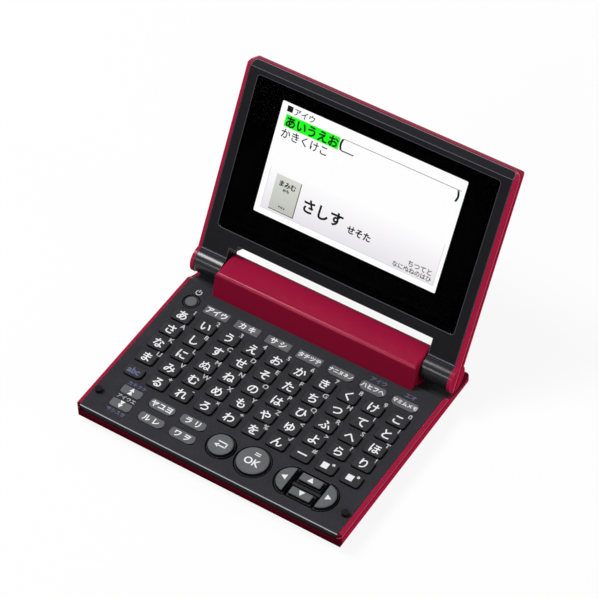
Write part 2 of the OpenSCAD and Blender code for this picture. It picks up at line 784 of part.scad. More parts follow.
// The sprung contact at the cell's flat end
module battery_spring() {
    x = -tray_half + tray_wall;
    color("silver") translate([x, cell_y, cell_centre_z]) rotate([0, 90, 0]) {
        cylinder(d = spring_plate_d, h = spring_plate_t);
        cylinder(d1 = spring_wide_d, d2 = spring_thin_d, h = spring_l);
    }
}

// The flat contact at the cell's nub
module battery_contact() {
    color("silver") translate([tray_half - tray_wall - contact_t / 2, cell_y, cell_centre_z])
        cube([contact_t, contact_w, contact_w], center = true);
}

module main_board() {
    front = front_y + board_front;
    rear = function_row_y + board_rear;
    color("darkgreen") difference() {
        translate([0, (front + rear) / 2, 0])
            slab(case_w - 2 * board_side, rear - front, board_r, board_z, board_t);
        for (p = case_screw_places) translate([p[0], p[1], board_z - 1])
            cylinder(d = case_boss_d + hole_clear, h = board_t + 2);
        for (p = board_screw_places) translate([p[0], p[1], board_z - 1])
            cylinder(d = board_screw_d, h = board_t + 2);
    }
}

module processor_chip() {
    color("#151517") translate([chip_place[0], chip_place[1], board_z - chip_t])
        cube([chip_w, chip_w, chip_t]);
}

// The rubber sheet over the board, with a hollow dome under each key
module key_sheet() {
    front = front_y + sheet_front;
    rear = function_row_y + sheet_rear;
    dome_d = plunger_d + 2 * dome_clear;
    color("#c9c9c4") difference() {
        union() {
            translate([0, (front + rear) / 2, 0])
                slab(case_w - 2 * sheet_side, rear - front, board_r, sheet_z, sheet_t);
            for (k = all_keys) dome(k, dome_d + 2 * dome_wall, sheet_t + dome_h, 0);
        }
        for (k = all_keys) dome(k, dome_d, sheet_t + dome_h + 2, -1);
        for (p = case_screw_places) translate([p[0], p[1], sheet_z - 1])
            cylinder(d = case_boss_d + hole_clear, h = sheet_t + 2);
        for (p = board_screw_places) translate([p[0], p[1], sheet_z - 1])
            cylinder(d = board_boss_d + hole_clear, h = sheet_t + 2);
    }
}

module dome(k, d, h, z) {
    translate([k[1][0] + plunger_shift(k[0]), k[1][1], sheet_z + z]) cylinder(d = d, h = h);
}

// A screw with its head down and a cross slot in it
module screw(d, head, h_head, length) {
    difference() {
        union() {
            cylinder(d = head, h = h_head);
            cylinder(d = d, h = length);
        }
        for (a = [0, 90]) rotate([0, 0, a]) translate([-head / 3, -slot_w / 2, -eps])
            cube([2 * head / 3, slot_w, slot_w]);
    }
}

module case_screws() {
    head_z = floor_z + head_floor - head_h;
    color("#8d8f92") for (p = case_screw_places) translate([p[0], p[1], head_z])
        screw(screw_d, head_d, head_h, cover_z - 0.4 - head_z);
}

module board_screws() {
    color("#8d8f92") for (p = board_screw_places) translate([p[0], p[1], board_z - board_head_h])
        screw(board_screw_d, board_screw_d + 1.2, board_head_h, cover_z - board_z);
}

module feet() {
    color("#202022") for (p = foot_places) translate([p[0], p[1], 0])
        cylinder(d = foot_d, h = foot_h + foot_seat);
}

module bumpers() {
    color("#1a1a1c") for (p = bumper_places) translate([p[0], p[1], 0]) {
        translate([0, 0, plate_z]) cylinder(d = bumper_d, h = bumper_h);
        translate([0, 0, cover_z]) cylinder(d = bumper_peg_d, h = cover_t + eps);
    }
}

module hinge_shaft(side) {
    color("#9a9c9f") hinge_line(shaft_d / 2, side * shaft_in, side * shaft_out);
}

// The steel block that holds a shaft inside the barrel
module hinge_bracket(side) {
    outer = barrel_half - barrel_wall - bracket_clear;
    x0 = side > 0 ? shaft_in : -outer;
    color("#7d8084") difference() {
        translate([x0, hinge_y - bracket_ahead, bracket_z])
            cube([outer - shaft_in, barrel_rear_y - barrel_rear_r - hinge_y + bracket_ahead,
                barrel_top_z - barrel_wall - bracket_z]);
        hinge_line(shaft_d / 2, side * (shaft_in - 1), side * (outer + 1));
    }
}

// The flat cable from the board up to the left hinge block
module cable_base() {
    y0 = function_row_y + cable_from;
    x0 = cable_side - barrel_half;
    color("#b0702a") along_x(x0, x0 + cable_w) {
        translate([y0, sheet_z]) square([hinge_y - y0, cable_t]);
        translate([hinge_y - cable_t, sheet_z]) square([cable_t, bracket_z - sheet_z]);
    }
}

// Turns a lid piece from the lid's own frame to its place at rest
module on_lid() {
    translate([0, hinge_y, hinge_z]) rotate([180 - lid_angle, 0, 0]) children();
}

// Size of the free edge's bevel on a block that ends at a level
function bevel_at(top) = top > inner_z ? 0 : bevel;

// The solid that fills the lid above the knuckles, drawn in by an inset
module lid_block(inset, top) {
    r = lid_edge_r - inset;
    intersection() {
        translate([0, 0, back_z + inset]) along_y(-knuckle_r, lid_l - inset)
            tray_section(case_w - 2 * inset, top - back_z - inset, r);
        along_x(-case_w / 2, case_w / 2) polygon(concat(
            [[-knuckle_r, top], [-knuckle_r, back_z + inset]],
            arc([lid_l - lid_edge_r, back_z + lid_edge_r], r, -90, 0),
            [[lid_l - inset, top - bevel_at(top)], [lid_l - inset - bevel_at(top), top]]));
        translate([0, (lid_l - inset) / 2 - 10, 0])
            slab(case_w - 2 * inset, lid_l - inset + 20, lid_corner_r - inset, back_z, lid_t + 10);
    }
}

module lid_shell() {
    color(red) on_lid() difference() {
        union() {
            difference() {
                lid_block(0, inner_z);
                lid_block(wall, inner_z + 5);
                // The free edge stops at the lip
                translate([0, 0, lip_top_z]) along_y(lid_l - 3 * wall, lid_l + 1)
                    tray_section(2 * (cover_half + seam), lid_t, lip_r);
                for (sx = [-1, 1]) translate([sx * case_w / 2, lid_l / 2, inner_z])
                    edge_cutter(rim_bevel, lid_l);
                // The gap between the knuckles, and the room for the knuckles
                translate([-knuckle_in, -2 * knuckle_r, back_z - 1])
                    cube([2 * knuckle_in, lid_start + 2 * knuckle_r, lid_t + 2]);
                translate([-cover_half - seam, -2 * knuckle_r, back_z - 1])
                    cube([2 * (cover_half + seam), 3 * knuckle_r + seam, lid_t + 2]);
                for (sx = [-1, 1]) translate([sx * case_w / 2 - cap_room, -2 * knuckle_r, back_z - 1])
                    cube([2 * cap_room, 2 * knuckle_r, lid_t + 2]);
            }
            // Round caps over the knuckles' ends
            for (x = [-case_w / 2, cover_half + seam]) translate([x, 0, 0]) rotate([0, 90, 0])
                cylinder(r = cap_r, h = wall, $fn = 96);
            for (p = lid_screw_places) translate([p[0], p[1], back_z + wall / 2])
                cylinder(d = cover_boss_d + 0.6, h = lid_boss_z - back_z - wall / 2);
            // Ribs that carry the backlight
            for (x = [-rib_x, 0, rib_x]) translate([x - rib_w / 2, screen_start, shell_floor_z - eps])
                cube([rib_w, screen_h, ledge_z - panel_t - backlight_t - shell_floor_z + eps]);
        }
        for (p = lid_screw_places) translate([p[0], p[1], shell_floor_z]) cylinder(d = screw_d, h = lid_t);
    }
}

module lid_bezel() {
    apron_in = bevel + apron_step;
    color(dark) on_lid() difference() {
        union() {
            // Front plate, with the bevelled apron along the free edge
            along_x(-cover_half, cover_half) polygon([
                [knuckle_r, ledge_z], [lid_l - apron_in - 1, ledge_z],
                [lid_l - apron_step - lip_wall, ledge_z - 1.2],
                [lid_l - apron_step - lip_wall, lip_top_z + seam],
                [lid_l - apron_step, lip_top_z + seam], [lid_l - apron_step, inner_z - bevel + 0.1],
                [lid_l - apron_in + 0.1, inner_z], [knuckle_r, inner_z]]);
            // Guard over the cable at the left end of the slot
            translate([-knuckle_in, cable_guard_s, shell_floor_z])
                cube([cable_guard_w, lid_start - cable_guard_s + eps, inner_z - 0.5 - shell_floor_z]);
            // Wall along the lower edge
            translate([-knuckle_in, lid_start, shell_floor_z])
                cube([2 * knuckle_in, arm_wall, ledge_z - shell_floor_z + eps]);
            for (sx = [-1, 1]) knuckle_arm(sx);
            for (p = lid_screw_places) translate([p[0], p[1], lid_boss_z])
                cylinder(d = cover_boss_d + 1.4, h = ledge_z - lid_boss_z + eps);
            for (sx = [-1, 1]) translate([sx * lid_stud_x, lid_stud_s, lid_board_z])
                cylinder(d = lid_stud_d, h = ledge_z - lid_board_z + eps);
        }
        // The gap between the knuckles
        translate([-knuckle_in + cable_guard_w, 0, back_z - 1])
            cube([2 * knuckle_in - cable_guard_w, lid_start, lid_t + 2]);
        translate([-knuckle_in, 0, back_z - 1]) cube([cable_guard_w + eps, cable_guard_s, lid_t + 2]);
        // Rounded lower corners of the apron
        translate([0, 0, lip_top_z + seam]) along_y(lid_l - 3 * wall - seam, lid_l + 1) difference() {
            translate([-case_w / 2, -1]) square([case_w, lip_r + 1]);
            tray_section(2 * cover_half, lid_t, lip_r - seam);
        }
        // Groove where the knuckles meet the plate
        for (sx = [-1, 1]) translate([sx * (knuckle_in + knuckle_out) / 2, knuckle_r + 0.3, inner_z])
            rotate([0, 0, 90]) edge_cutter(groove, knuckle_w);
        // Pocket for the lens and window for the display
        translate([0, lens_start + lens_h / 2, 0])
            slab(lens_w + 2 * lens_gap, lens_h + 2 * lens_gap, lens_corner_r + lens_gap, mask_z, lid_t);
        translate([0, screen_start + screen_h / 2, 0])
            slab(screen_w + 2 * window_gap, screen_h + 2 * window_gap, window_gap, ledge_z - 1, lid_t);
        for (p = lid_screw_places) {
            translate([p[0], p[1], mask_z - lid_head_h - 0.05]) cylinder(d = head_d + 0.1, h = 2);
            translate([p[0], p[1], lid_boss_z - 1]) cylinder(d = screw_d + 0.1, h = 3);
        }
        for (sx = [-1, 1]) translate([sx > 0 ? knuckle_in - 1 : -knuckle_out + 1, 0, 0]) rotate([0, 90, 0])
            cylinder(r = shaft_d / 2 + shaft_clear + sleeve_wall, h = knuckle_w);
    }
}

// A knuckle and the arm that joins it to the bezel
module knuckle_arm(side) {
    x0 = side > 0 ? knuckle_in : -knuckle_out;
    translate([x0, 0, 0]) rotate([0, 90, 0]) cylinder(r = knuckle_r, h = knuckle_w, $fn = 96);
    translate([x0, 0, back_z]) cube([knuckle_w, knuckle_r, inner_z - back_z]);
    translate([side > 0 ? knuckle_in : -knuckle_in - arm_wall, 0, shell_floor_z])
        cube([arm_wall, lid_start + arm_wall, inner_z - shell_floor_z]);
}

module screen_lens() {
    color([0.7, 0.75, 0.8, 0.35]) on_lid() translate([0, lens_start + lens_h / 2, 0])
        slab(lens_w, lens_h, lens_corner_r, lens_top_z - lens_t, lens_t);
}

// The black print behind the lens, open over the picture
module mask_film() {
    color("black") on_lid() difference() {
        translate([0, lens_start + lens_h / 2, 0]) slab(lens_w, lens_h, lens_corner_r, mask_z, mask_t);
        translate([0, screen_start + screen_h / 2, 0]) slab(screen_w, screen_h, 0.5, mask_z - 1, 3);
    }
}

module display_panel() {
    color("white") on_lid() display_block(ledge_z - panel_t, panel_t);
}

module backlight() {
    color("#d8dadc") on_lid() display_block(ledge_z - panel_t - backlight_t, backlight_t);
}

// A block a little larger than the picture
module display_block(z, h) {
    translate([-screen_w / 2 - panel_border, screen_start - panel_border, z])
        cube([screen_w + 2 * panel_border, screen_h + 2 * panel_border, h]);
}

module lid_board() {
    color("darkgreen") on_lid() translate([-lid_board_w / 2, lid_board_start, lid_board_z - lid_board_t])
        cube([lid_board_w, lid_board_h, lid_board_t]);
}

// The flat cable from the lid's board down into the left arm
module cable_lid() {
    s0 = lid_cable_start;
    s1 = s0 + lid_cable_w;
    low = knuckle_r + 0.3;
    x0 = -lid_cable_out;
    x1 = x0 + 5;
    color("#b0702a") on_lid() translate([0, 0, lid_board_z - lid_board_t - cable_t]) linear_extrude(cable_t)
        polygon([[-lid_cable_in, s0], [-lid_cable_in, s1], [x0, s1], [x0, low], [x1, low], [x1, s0]]);
}

// The friction sleeve pressed in a knuckle, which turns on the shaft
module hinge_sleeve(side) {
    length = knuckle_w - 1;
    x0 = side > 0 ? knuckle_in : -knuckle_out + 1;
    color("#b08d3c") on_lid() translate([x0, 0, 0]) rotate([0, 90, 0]) difference() {
        cylinder(r = shaft_d / 2 + shaft_clear + sleeve_wall, h = length);
        translate([0, 0, -1]) cylinder(r = shaft_d / 2 + shaft_clear, h = length + 2);
    }
}

module lid_screws() {
    color("#8d8f92") on_lid() for (p = lid_screw_places) translate([p[0], p[1], mask_z - 0.05])
        mirror([0, 0, 1]) screw(screw_d, head_d - 0.2, lid_head_h, lid_t - 4);
}

module other_key(i) {
    k = other_keys[i];
    color(k[0] == "symbol" ? dark : grey) key(k[0], k[1], k[2]);
}

module syllable_row(r) {
    color(dark) for (p = row_places(r)) key("syllable", p, syllable_rise);
}

lower_case();
keyboard_cover();
barrel_housing();
battery_tray();
battery_cell();
battery_spring();
battery_contact();
main_board();
processor_chip();
key_sheet();
case_screws();
board_screws();
feet();
bumpers();
hinge_shaft(-1);  // hinge_shaft_left
hinge_shaft(1);  // hinge_shaft_right
hinge_bracket(-1);  // hinge_bracket_left
hinge_bracket(1);  // hinge_bracket_right
cable_base();
battery_door();
lid_shell();
lid_bezel();
screen_lens();
mask_film();
display_panel();
backlight();
lid_board();
cable_lid();
hinge_sleeve(-1);  // hinge_sleeve_left
hinge_sleeve(1);  // hinge_sleeve_right
lid_screws();
other_key(0);  // power_key
other_key(1);  // function_key_1
other_key(2);  // function_key_2
other_key(3);  // function_key_3
other_key(4);  // function_key_4
other_key(5);  // function_key_5
other_key(6);  // function_key_6
other_key(7);  // function_key_7
other_key(8);  // page_up_key
other_key(9);  // page_down_key
other_key(10);  // oval_key_1
other_key(11);  // oval_key_2
other_key(12);  // oval_key_3
other_key(13);  // oval_key_4
other_key(14);  // back_key
other_key(15);  // enter_key
other_key(16);  // cursor_left_key
other_key(17);  // cursor_right_key
other_key(18);  // cursor_up_key
other_key(19);  // cursor_down_key
other_key(20);  // symbol_key
syllable_row(0);  // syllable_row_1
syllable_row(1);  // syllable_row_2
syllable_row(2);  // syllable_row_3
syllable_row(3);  // syllable_row_4
syllable_row(4);  // syllable_row_5
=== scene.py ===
# %% [markdown]
# # A palm-size dictionary with a hinged lid
# The real object is a clamshell of moulded plastic: a wine red lower case and lid, a charcoal
# keyboard cover, seventy small keys, a red barrel that holds the battery between the hinge
# knuckles, and a colour display behind a black glossy lens.
# The packed CAD model already has every shape at its real place, so this lesson keeps its solids
# and adds what a solid can't show: finishes, printed marks, the lit page and the light.

# %% Load the packed model
import json
import math

import bmesh
import bpy
from mathutils import Matrix, Vector


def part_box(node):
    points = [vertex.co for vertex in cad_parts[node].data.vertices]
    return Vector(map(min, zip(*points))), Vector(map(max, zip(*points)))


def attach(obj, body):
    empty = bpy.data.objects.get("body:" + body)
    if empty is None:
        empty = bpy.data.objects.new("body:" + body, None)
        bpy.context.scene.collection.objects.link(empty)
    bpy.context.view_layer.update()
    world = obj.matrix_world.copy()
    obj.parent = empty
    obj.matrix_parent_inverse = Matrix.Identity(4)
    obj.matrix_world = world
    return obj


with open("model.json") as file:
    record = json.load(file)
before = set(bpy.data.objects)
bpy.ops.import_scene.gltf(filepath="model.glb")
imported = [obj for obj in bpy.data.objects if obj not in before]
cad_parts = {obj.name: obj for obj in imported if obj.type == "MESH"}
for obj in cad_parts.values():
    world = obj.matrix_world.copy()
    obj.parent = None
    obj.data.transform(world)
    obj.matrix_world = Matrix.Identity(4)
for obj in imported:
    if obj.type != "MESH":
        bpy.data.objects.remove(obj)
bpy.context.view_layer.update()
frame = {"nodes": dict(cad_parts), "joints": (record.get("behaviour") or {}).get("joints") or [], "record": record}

MM = 0.001
nodes = frame["nodes"]

# %% [markdown]
# ## Where things are
# Marks are placed from the solids, never by eye. The lid is easier to work on in its own
# frame: the origin on the hinge axis, y up the lid, z out of its inner face. One matrix turns that
# frame into place, and the same matrix backwards gives a lid solid's box in it.

# %% The lid's own frame
LID_TILT = math.radians(60)
hinge = next(j for j in frame["joints"] if j["name"] == "lid_hinge")
hinge_point = Vector(hinge["pos_m"])
lid_frame = Matrix.Translation(hinge_point) @ Matrix.Rotation(LID_TILT, 4, "X")


def lid_box(node):
    """Lowest and highest corner of a lid solid, in the lid's own frame."""
    back = lid_frame.inverted()
    points = [back @ v.co for v in nodes[node].data.vertices]
    return [Vector([pick(p[i] for p in points) for i in range(3)]) for pick in (min, max)]


def flat_at(x, y, z):
    """A place on a level surface: x and y in millimetres, z in metres."""
    return Matrix.Translation((x * MM, y * MM, z))


def lid_at(x, s, height):
    """A place on the lid: x and s in millimetres, height in metres."""
    return lid_frame @ Matrix.Translation((x * MM, s * MM, height))


plate_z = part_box("keyboard_cover")[1].z
panel_low, panel_high = lid_box("display_panel")
print("plate at", round(plate_z / MM, 2), "mm, display face at", round(panel_high.z / MM, 2), "mm")

# %% [markdown]
# ## The photograph's camera
# The view was solved from the corners of the case, the keys and the lens: a long lens a metre
# away, looking down by 49 degrees from the front right, with a small roll.
# The camera comes first, so that each later piece can be checked in the same view.

# %% Camera
AZIMUTH, ELEVATION, ROLL = (math.radians(a) for a in (33.98, 48.973, -1.627))
TARGET = Vector((-14.386, 38.714, 8.9)) * MM
DISTANCE = 1.01064
LENS = 169.56

back = Vector((math.sin(AZIMUTH) * math.cos(ELEVATION),
               -math.cos(AZIMUTH) * math.cos(ELEVATION), math.sin(ELEVATION)))
level = Vector((math.cos(AZIMUTH), math.sin(AZIMUTH), 0))
upright = back.cross(level)
right = math.cos(ROLL) * level + math.sin(ROLL) * upright
up = -math.sin(ROLL) * level + math.cos(ROLL) * upright

camera = bpy.data.objects.new("camera", bpy.data.cameras.new("camera"))
camera.data.lens = LENS
camera.data.sensor_width = 36
camera.matrix_world = Matrix.Translation(TARGET + back * DISTANCE) @ Matrix(
    (right, up, back)).transposed().to_4x4()
bpy.context.scene.collection.objects.link(camera)
bpy.context.scene.camera = camera
bpy.context.scene.view_settings.view_transform = "Standard"
print("camera at", [round(v, 3) for v in camera.location])

# %% [markdown]
# ## Shader maths in plain expressions
# A material is a graph, and wiring a graph by hand hides what it says. A small class wraps a
# socket and turns + - * / into Math nodes, so 1 - mask reads as what it means.

# %% A wire
class Wire:
    """One output socket; arithmetic on it adds Math nodes to its tree."""

    def __init__(self, finish, socket):
        self.finish = finish
        self.socket = socket

    def maths(self, operation, *values, clamp=False):
        return self.finish.node("ShaderNodeMath", {"operation": operation, "use_clamp": clamp},
                                dict(enumerate(values)))

    def __add__(self, other):
        return self.maths("ADD", self, other)

    def __radd__(self, other):
        return self.maths("ADD", other, self)

    def __sub__(self, other):
        return self.maths("SUBTRACT", self, other)

    def __rsub__(self, other):
        return self.maths("SUBTRACT", other, self)

    def __mul__(self, other):
        return self.maths("MULTIPLY", self, other)

    def __rmul__(self, other):
        return self.maths("MULTIPLY", other, self)

    def __truediv__(self, other):
        return self.maths("DIVIDE", self, other)

    def clamped(self):
        return self.maths("ADD", self, 0.0, clamp=True)

    def absolute(self):
        return self.maths("ABSOLUTE", self)

    def sine(self):
        return self.maths("SINE", self)

    def larger(self, other):
        return self.maths("MAXIMUM", self, other)


print("wire maths:", [name for name in vars(Wire) if name != "maths" and not name.startswith("__")])

# %% [markdown]
# ## A finish
# Every material here is one Principled shader with a few patterns in front of it: noise for grain,
# a rounded normal that finds edges, and where a point lies or which way it faces.
# Colours don't pass through Math nodes, which would turn them grey: they go through Mix. Vectors
# go through Vector Math. Whatever differs over the surface feeds a socket that can be baked.

# %% A finish
class Finish:
    """A material, built up node by node around its Principled shader."""

    def __init__(self, name, fixed=None):
        self.material = bpy.data.materials.new(name)
        self.material.use_nodes = True
        self.tree = self.material.node_tree
        self.shader = self.tree.nodes["Principled BSDF"]
        for socket, value in (fixed or {}).items():
            self.shader.inputs[socket].default_value = value

    def node(self, kind, settings=None, inputs=None, output=0):
        """Adds any node: its settings first, then values or wires for its sockets."""
        made = self.tree.nodes.new(kind)
        for name, value in (settings or {}).items():
            setattr(made, name, value)
        for socket, value in (inputs or {}).items():
            if isinstance(value, Wire):
                self.tree.links.new(value.socket, made.inputs[socket])
            else:
                made.inputs[socket].default_value = value
        return Wire(self, made.outputs[output])

    def feed(self, socket, wire):
        self.tree.links.new(wire.socket, self.shader.inputs[socket])

    def blend(self, factor, first, second):
        """Mixes two colours."""
        return self.node("ShaderNodeMix", {"data_type": "RGBA"}, {0: factor, 6: first, 7: second}, 2)

    def vector(self, operation, *values, output=0):
        """One Vector Math node."""
        return self.node("ShaderNodeVectorMath", {"operation": operation},
                         dict(enumerate(values)), output)

    def along(self, vector, letter):
        """The X, Y or Z part of a vector."""
        return self.node("ShaderNodeSeparateXYZ", None, {0: vector}, letter)

    def place_mm(self):
        """The surface point in the object's own frame, in millimetres."""
        spot = self.node("ShaderNodeTexCoord", output="Object")
        return self.node("ShaderNodeVectorMath", {"operation": "SCALE"}, {0: spot, "Scale": 1 / MM})

    def noise(self, place, size_mm, detail=2.0):
        """Cloudy noise from 0 to 1 with lumps of about the given size."""
        return self.node("ShaderNodeTexNoise", None,
                         {"Vector": place, "Scale": 1 / size_mm, "Detail": detail})

    def facing_up(self):
        """1 on level faces and 0 on upright walls, whatever the camera does."""
        normal = self.node("ShaderNodeTexCoord", output="Normal")
        return ((self.along(normal, "Z") - 0.25) / 0.5).clamped()

    def edges(self, width_mm, gain=6):
        """The rounded normal, and a mask close to 1 along edges, where it leaves the true one.
        More gain finds flatter edges, and needs more samples to stay even."""
        rounded = self.node("ShaderNodeBevel", {"samples": 16 if gain > 20 else 8},
                            {"Radius": width_mm * MM})
        true = self.node("ShaderNodeNewGeometry", output="Normal")
        agree = self.vector("DOT_PRODUCT", rounded, true, output="Value")
        return rounded, ((1 - agree) * gain).clamped()

    def bump(self, height, depth_mm, strength=1.0, under=None):
        """Grain in the normal, on top of another normal where one is given."""
        sockets = {"Strength": strength, "Distance": depth_mm * MM, "Height": height}
        if under:
            sockets["Normal"] = under
        self.feed("Normal", self.node("ShaderNodeBump", None, sockets))


def rgb(red, green, blue):
    return (red, green, blue, 1.0)


def shade(colour, factor):
    return tuple(c * factor for c in colour[:3]) + (1.0,)


print("finish methods:", [name for name in vars(Finish) if not name.startswith("__")])

# %% [markdown]
# ## Moulded plastic
# The cover, the keys and the knuckles are spark-eroded mouldings: charcoal, satin, with a grain of
# less than half a millimetre that breaks up every highlight.
# Two noises do it: a fine one for the grain, which drives bump, roughness and a little of the
# colour, and a slow one for the faint cloudiness of handled plastic. The knuckles are rubbed
# glossy, so their grain fades and a coat comes in near the hinge axis.

# %% How plastic is made
PAINTED_LIP_HIGHLIGHT = rgb(0.42, 0.42, 0.45)
GLINT_DEEP, GLINT_HIGH, GLINT_FADE = 0.35, 0.25, 0.1
GLOSS_FADE = 0.4


def near_hinge(finish, place, reach_mm):
    """1 up to some distance from the hinge axis, which runs along x."""
    spoke = finish.vector("SUBTRACT", place, tuple(hinge_point / MM))
    away = finish.vector("LENGTH", finish.vector("MULTIPLY", spoke, (0, 1, 1)), output="Value")
    return ((reach_mm - away) / GLOSS_FADE).clamped()


def moulded(name, colour, roughness, specular, grain_mm=0.12, depth_mm=0.006, contrast=0.18,
            walls=None, edge_mm=0.0, edge_gain=6, painted_edge_highlight=5, front_edge=None, gloss_reach=None):
    """Grained plastic. Upright faces may take a painted shade, edges may be smoothed by wear and lit by a
    painted highlight, the front edge (its y and z in mm) a painted highlight line, and what lies
    within gloss_reach of the hinge glossy."""
    finish = Finish(name, {"Specular IOR Level": specular, "Coat Roughness": 0.22})
    place = finish.place_mm()
    grain = finish.noise(place, grain_mm)
    cloud = finish.noise(place, 9.0, 1.0)
    tone = (grain * 0.7 + cloud * 0.3).clamped()
    surface = finish.blend(tone, shade(colour, 1 - contrast), shade(colour, 1 + contrast))
    # Upright faces take the walls colour: a painted shade
    if walls:
        surface = finish.blend(finish.facing_up(), walls, surface)
    rough = roughness - 0.06 + grain * 0.12
    if gloss_reach:
        near = near_hinge(finish, place, gloss_reach)
        rough = rough - near * 0.20
        grain = grain * (1 - near)
        finish.feed("Coat Weight", near * 0.9)
    rounded = None
    if edge_mm:
        rounded, edge_wear_and_highlight = finish.edges(edge_mm, edge_gain)
        if gloss_reach:
            edge_wear_and_highlight = edge_wear_and_highlight * (1 - near)
        # A painted highlight lightens the edges of faces that look up; the lower roughness is wear
        surface = finish.blend(edge_wear_and_highlight * finish.facing_up() * 0.35, surface, shade(colour, painted_edge_highlight))
        rough = rough - edge_wear_and_highlight * 0.22
    if front_edge:
        # A painted highlight: a pale line along the top of the cover's front edge
        front_y, top_z = front_edge
        at_front = ((front_y + GLINT_DEEP - finish.along(place, "Y")) / GLINT_FADE).clamped()
        at_top = ((finish.along(place, "Z") - top_z + GLINT_HIGH) / GLINT_FADE).clamped()
        surface = finish.blend(at_front * at_top, surface, PAINTED_LIP_HIGHLIGHT)
    finish.feed("Base Color", surface)
    finish.feed("Roughness", rough)
    # The knuckles' highlight is smoother over their true normal than over the rounded one
    finish.bump(grain, depth_mm, 0.5, None if gloss_reach else rounded)
    return finish.material


print("plastic recipe ready, glossy round the hinge at", [round(v / MM, 1) for v in hinge_point])

# %% The plastics
# The walls colours below are painted shade on upright faces, and the lighter edges a painted highlight, strongest
# on the bezel's creases
cover_plastic = moulded("charcoal cover", rgb(0.032, 0.032, 0.037), roughness=0.45, specular=0.05,
                        grain_mm=0.45, depth_mm=0.010, contrast=0.6,
                        walls=rgb(0.004, 0.004, 0.005), edge_mm=0.25,
                        front_edge=(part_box("keyboard_cover")[0].y / MM, plate_z / MM))
bezel_plastic = moulded("charcoal bezel", rgb(0.013, 0.013, 0.016), roughness=0.42, specular=0.06,
                        grain_mm=0.45, contrast=0.5,
                        edge_mm=0.3, edge_gain=60, painted_edge_highlight=40, gloss_reach=5.3)
dark_key_plastic = moulded("charcoal keys", rgb(0.028, 0.028, 0.032), roughness=0.45, specular=0.20,
                           grain_mm=0.45, depth_mm=0.008, contrast=0.5,
                           walls=rgb(0.002, 0.002, 0.003))
grey_key_plastic = moulded("grey keys", rgb(0.115, 0.117, 0.125), roughness=0.46, specular=0.20,
                           grain_mm=0.45, depth_mm=0.008, contrast=0.35,
                           walls=rgb(0.008, 0.008, 0.009))
inner_plastic = moulded("black inner plastic", rgb(0.010, 0.010, 0.010), roughness=0.55, specular=0.3)
print("plastics:", [m.name for m in (cover_plastic, bezel_plastic, dark_key_plastic,
                                     grey_key_plastic, inner_plastic)])

# %% [markdown]
# ## Wine red lacquer
# The case, lid and barrel are sprayed wine red under a clear coat. Fine flakes make the colour
# lighter here and there, and painted highlights run as thin bright lines along the creases and along the side
# walls.
# The flakes are a noise far finer than the plastic's grain. The base has no reflection of its own,
# so a pale floor can't wash the red out of the walls, and a thin coat gives the gloss. The lines
# are painted highlights: along creases by the rounded normal, on the walls at the height of the seam,
# with a painted shade under the seam. Upright walls are painted darker than the tops on the barrel
# and lighter on the lid and case, for the light that falls on them, and the case's front rim has a painted shade.

# %% How lacquer is made
DEEP_RED = rgb(0.25, 0.006, 0.030)
BRIGHT_RED = rgb(0.37, 0.010, 0.050)
HIGHLIGHT_RED = rgb(0.55, 0.10, 0.16)
RIM_DEEP, RIM_FADE = 1.3, 0.3
RIM_CREASE_Z, CREASE_FADE = 2.5, 0.5


def seam_lines(finish, place, seam):
    """Masks of a seam's painted highlight and of the painted shade under it. The seam is given by the
    frame whose z crosses it, its height there and the reach of each line, both in millimetres."""
    seam_frame, level, reach = seam
    upward = seam_frame.col[2].xyz
    rise = finish.vector("DOT_PRODUCT", place, tuple(upward), output="Value")
    above = rise - (upward.dot(seam_frame.translation) / MM + level)
    glint = (1 - above.absolute() / reach).clamped()
    seam_shade = (1 - (above + reach * 2).absolute() / reach).clamped()
    return glint, seam_shade


def lacquer(name, painted_edge_highlight, painted_wall_light, dark_front=None, seam=None):
    """Flaked lacquer with edges smoothed by wear and lit by a painted highlight. Upright walls take the
    deep red times a factor, a painted light above one and a painted shade below it; the front rim, at a
    y in mm, may take a painted shade as if in the dark under a lip, and a seam's painted highlight and
    shade may run along the walls."""
    finish = Finish(name, {"Coat Roughness": 0.2, "Specular IOR Level": 0.0})
    place = finish.place_mm()
    flakes = finish.noise(place, 0.05, 1.0)
    cloud = finish.noise(place, 14.0, 1.0)
    rounded, edge_wear_and_highlight = finish.edges(0.2)
    colour = finish.blend((flakes * 0.6 + cloud * 0.4).clamped(), DEEP_RED, BRIGHT_RED)
    # Upright walls: the deep red times a factor, a painted light above one and a painted shade below it
    colour = finish.blend(finish.facing_up(), shade(DEEP_RED, painted_wall_light), colour)
    if dark_front is not None:
        # A painted shade over the case's front rim, as if in the dark under the lip
        at_front = ((dark_front + RIM_DEEP - finish.along(place, "Y")) / RIM_FADE).clamped()
        colour = finish.blend(at_front, colour, shade(DEEP_RED, 0.35))
        # In that painted shade the edges lose their painted highlight, except for the crease at the rim's foot
        above_crease = ((finish.along(place, "Z") - RIM_CREASE_Z) / CREASE_FADE).clamped()
        edge_wear_and_highlight = edge_wear_and_highlight * (1 - at_front * above_crease)
    if seam:
        glint, seam_shade = seam_lines(finish, place, seam)
        # Under the seam's painted highlight lies a line of painted shade
        colour = finish.blend(seam_shade, colour, shade(DEEP_RED, 0.3))
        edge_wear_and_highlight = edge_wear_and_highlight.larger(glint)
    # Edges and the seam's bright line take a lighter red: a painted highlight
    finish.feed("Base Color", finish.blend(edge_wear_and_highlight * painted_edge_highlight, colour, HIGHLIGHT_RED))
    finish.feed("Roughness", 0.34 + flakes * 0.12 - edge_wear_and_highlight * 0.1)
    finish.feed("Coat Weight", finish.facing_up() * 0.25 + edge_wear_and_highlight * 0.15)
    finish.bump(flakes, 0.002, 0.2, rounded)
    return finish.material


print("lacquer recipe ready, from", DEEP_RED[:3], "to", BRIGHT_RED[:3])

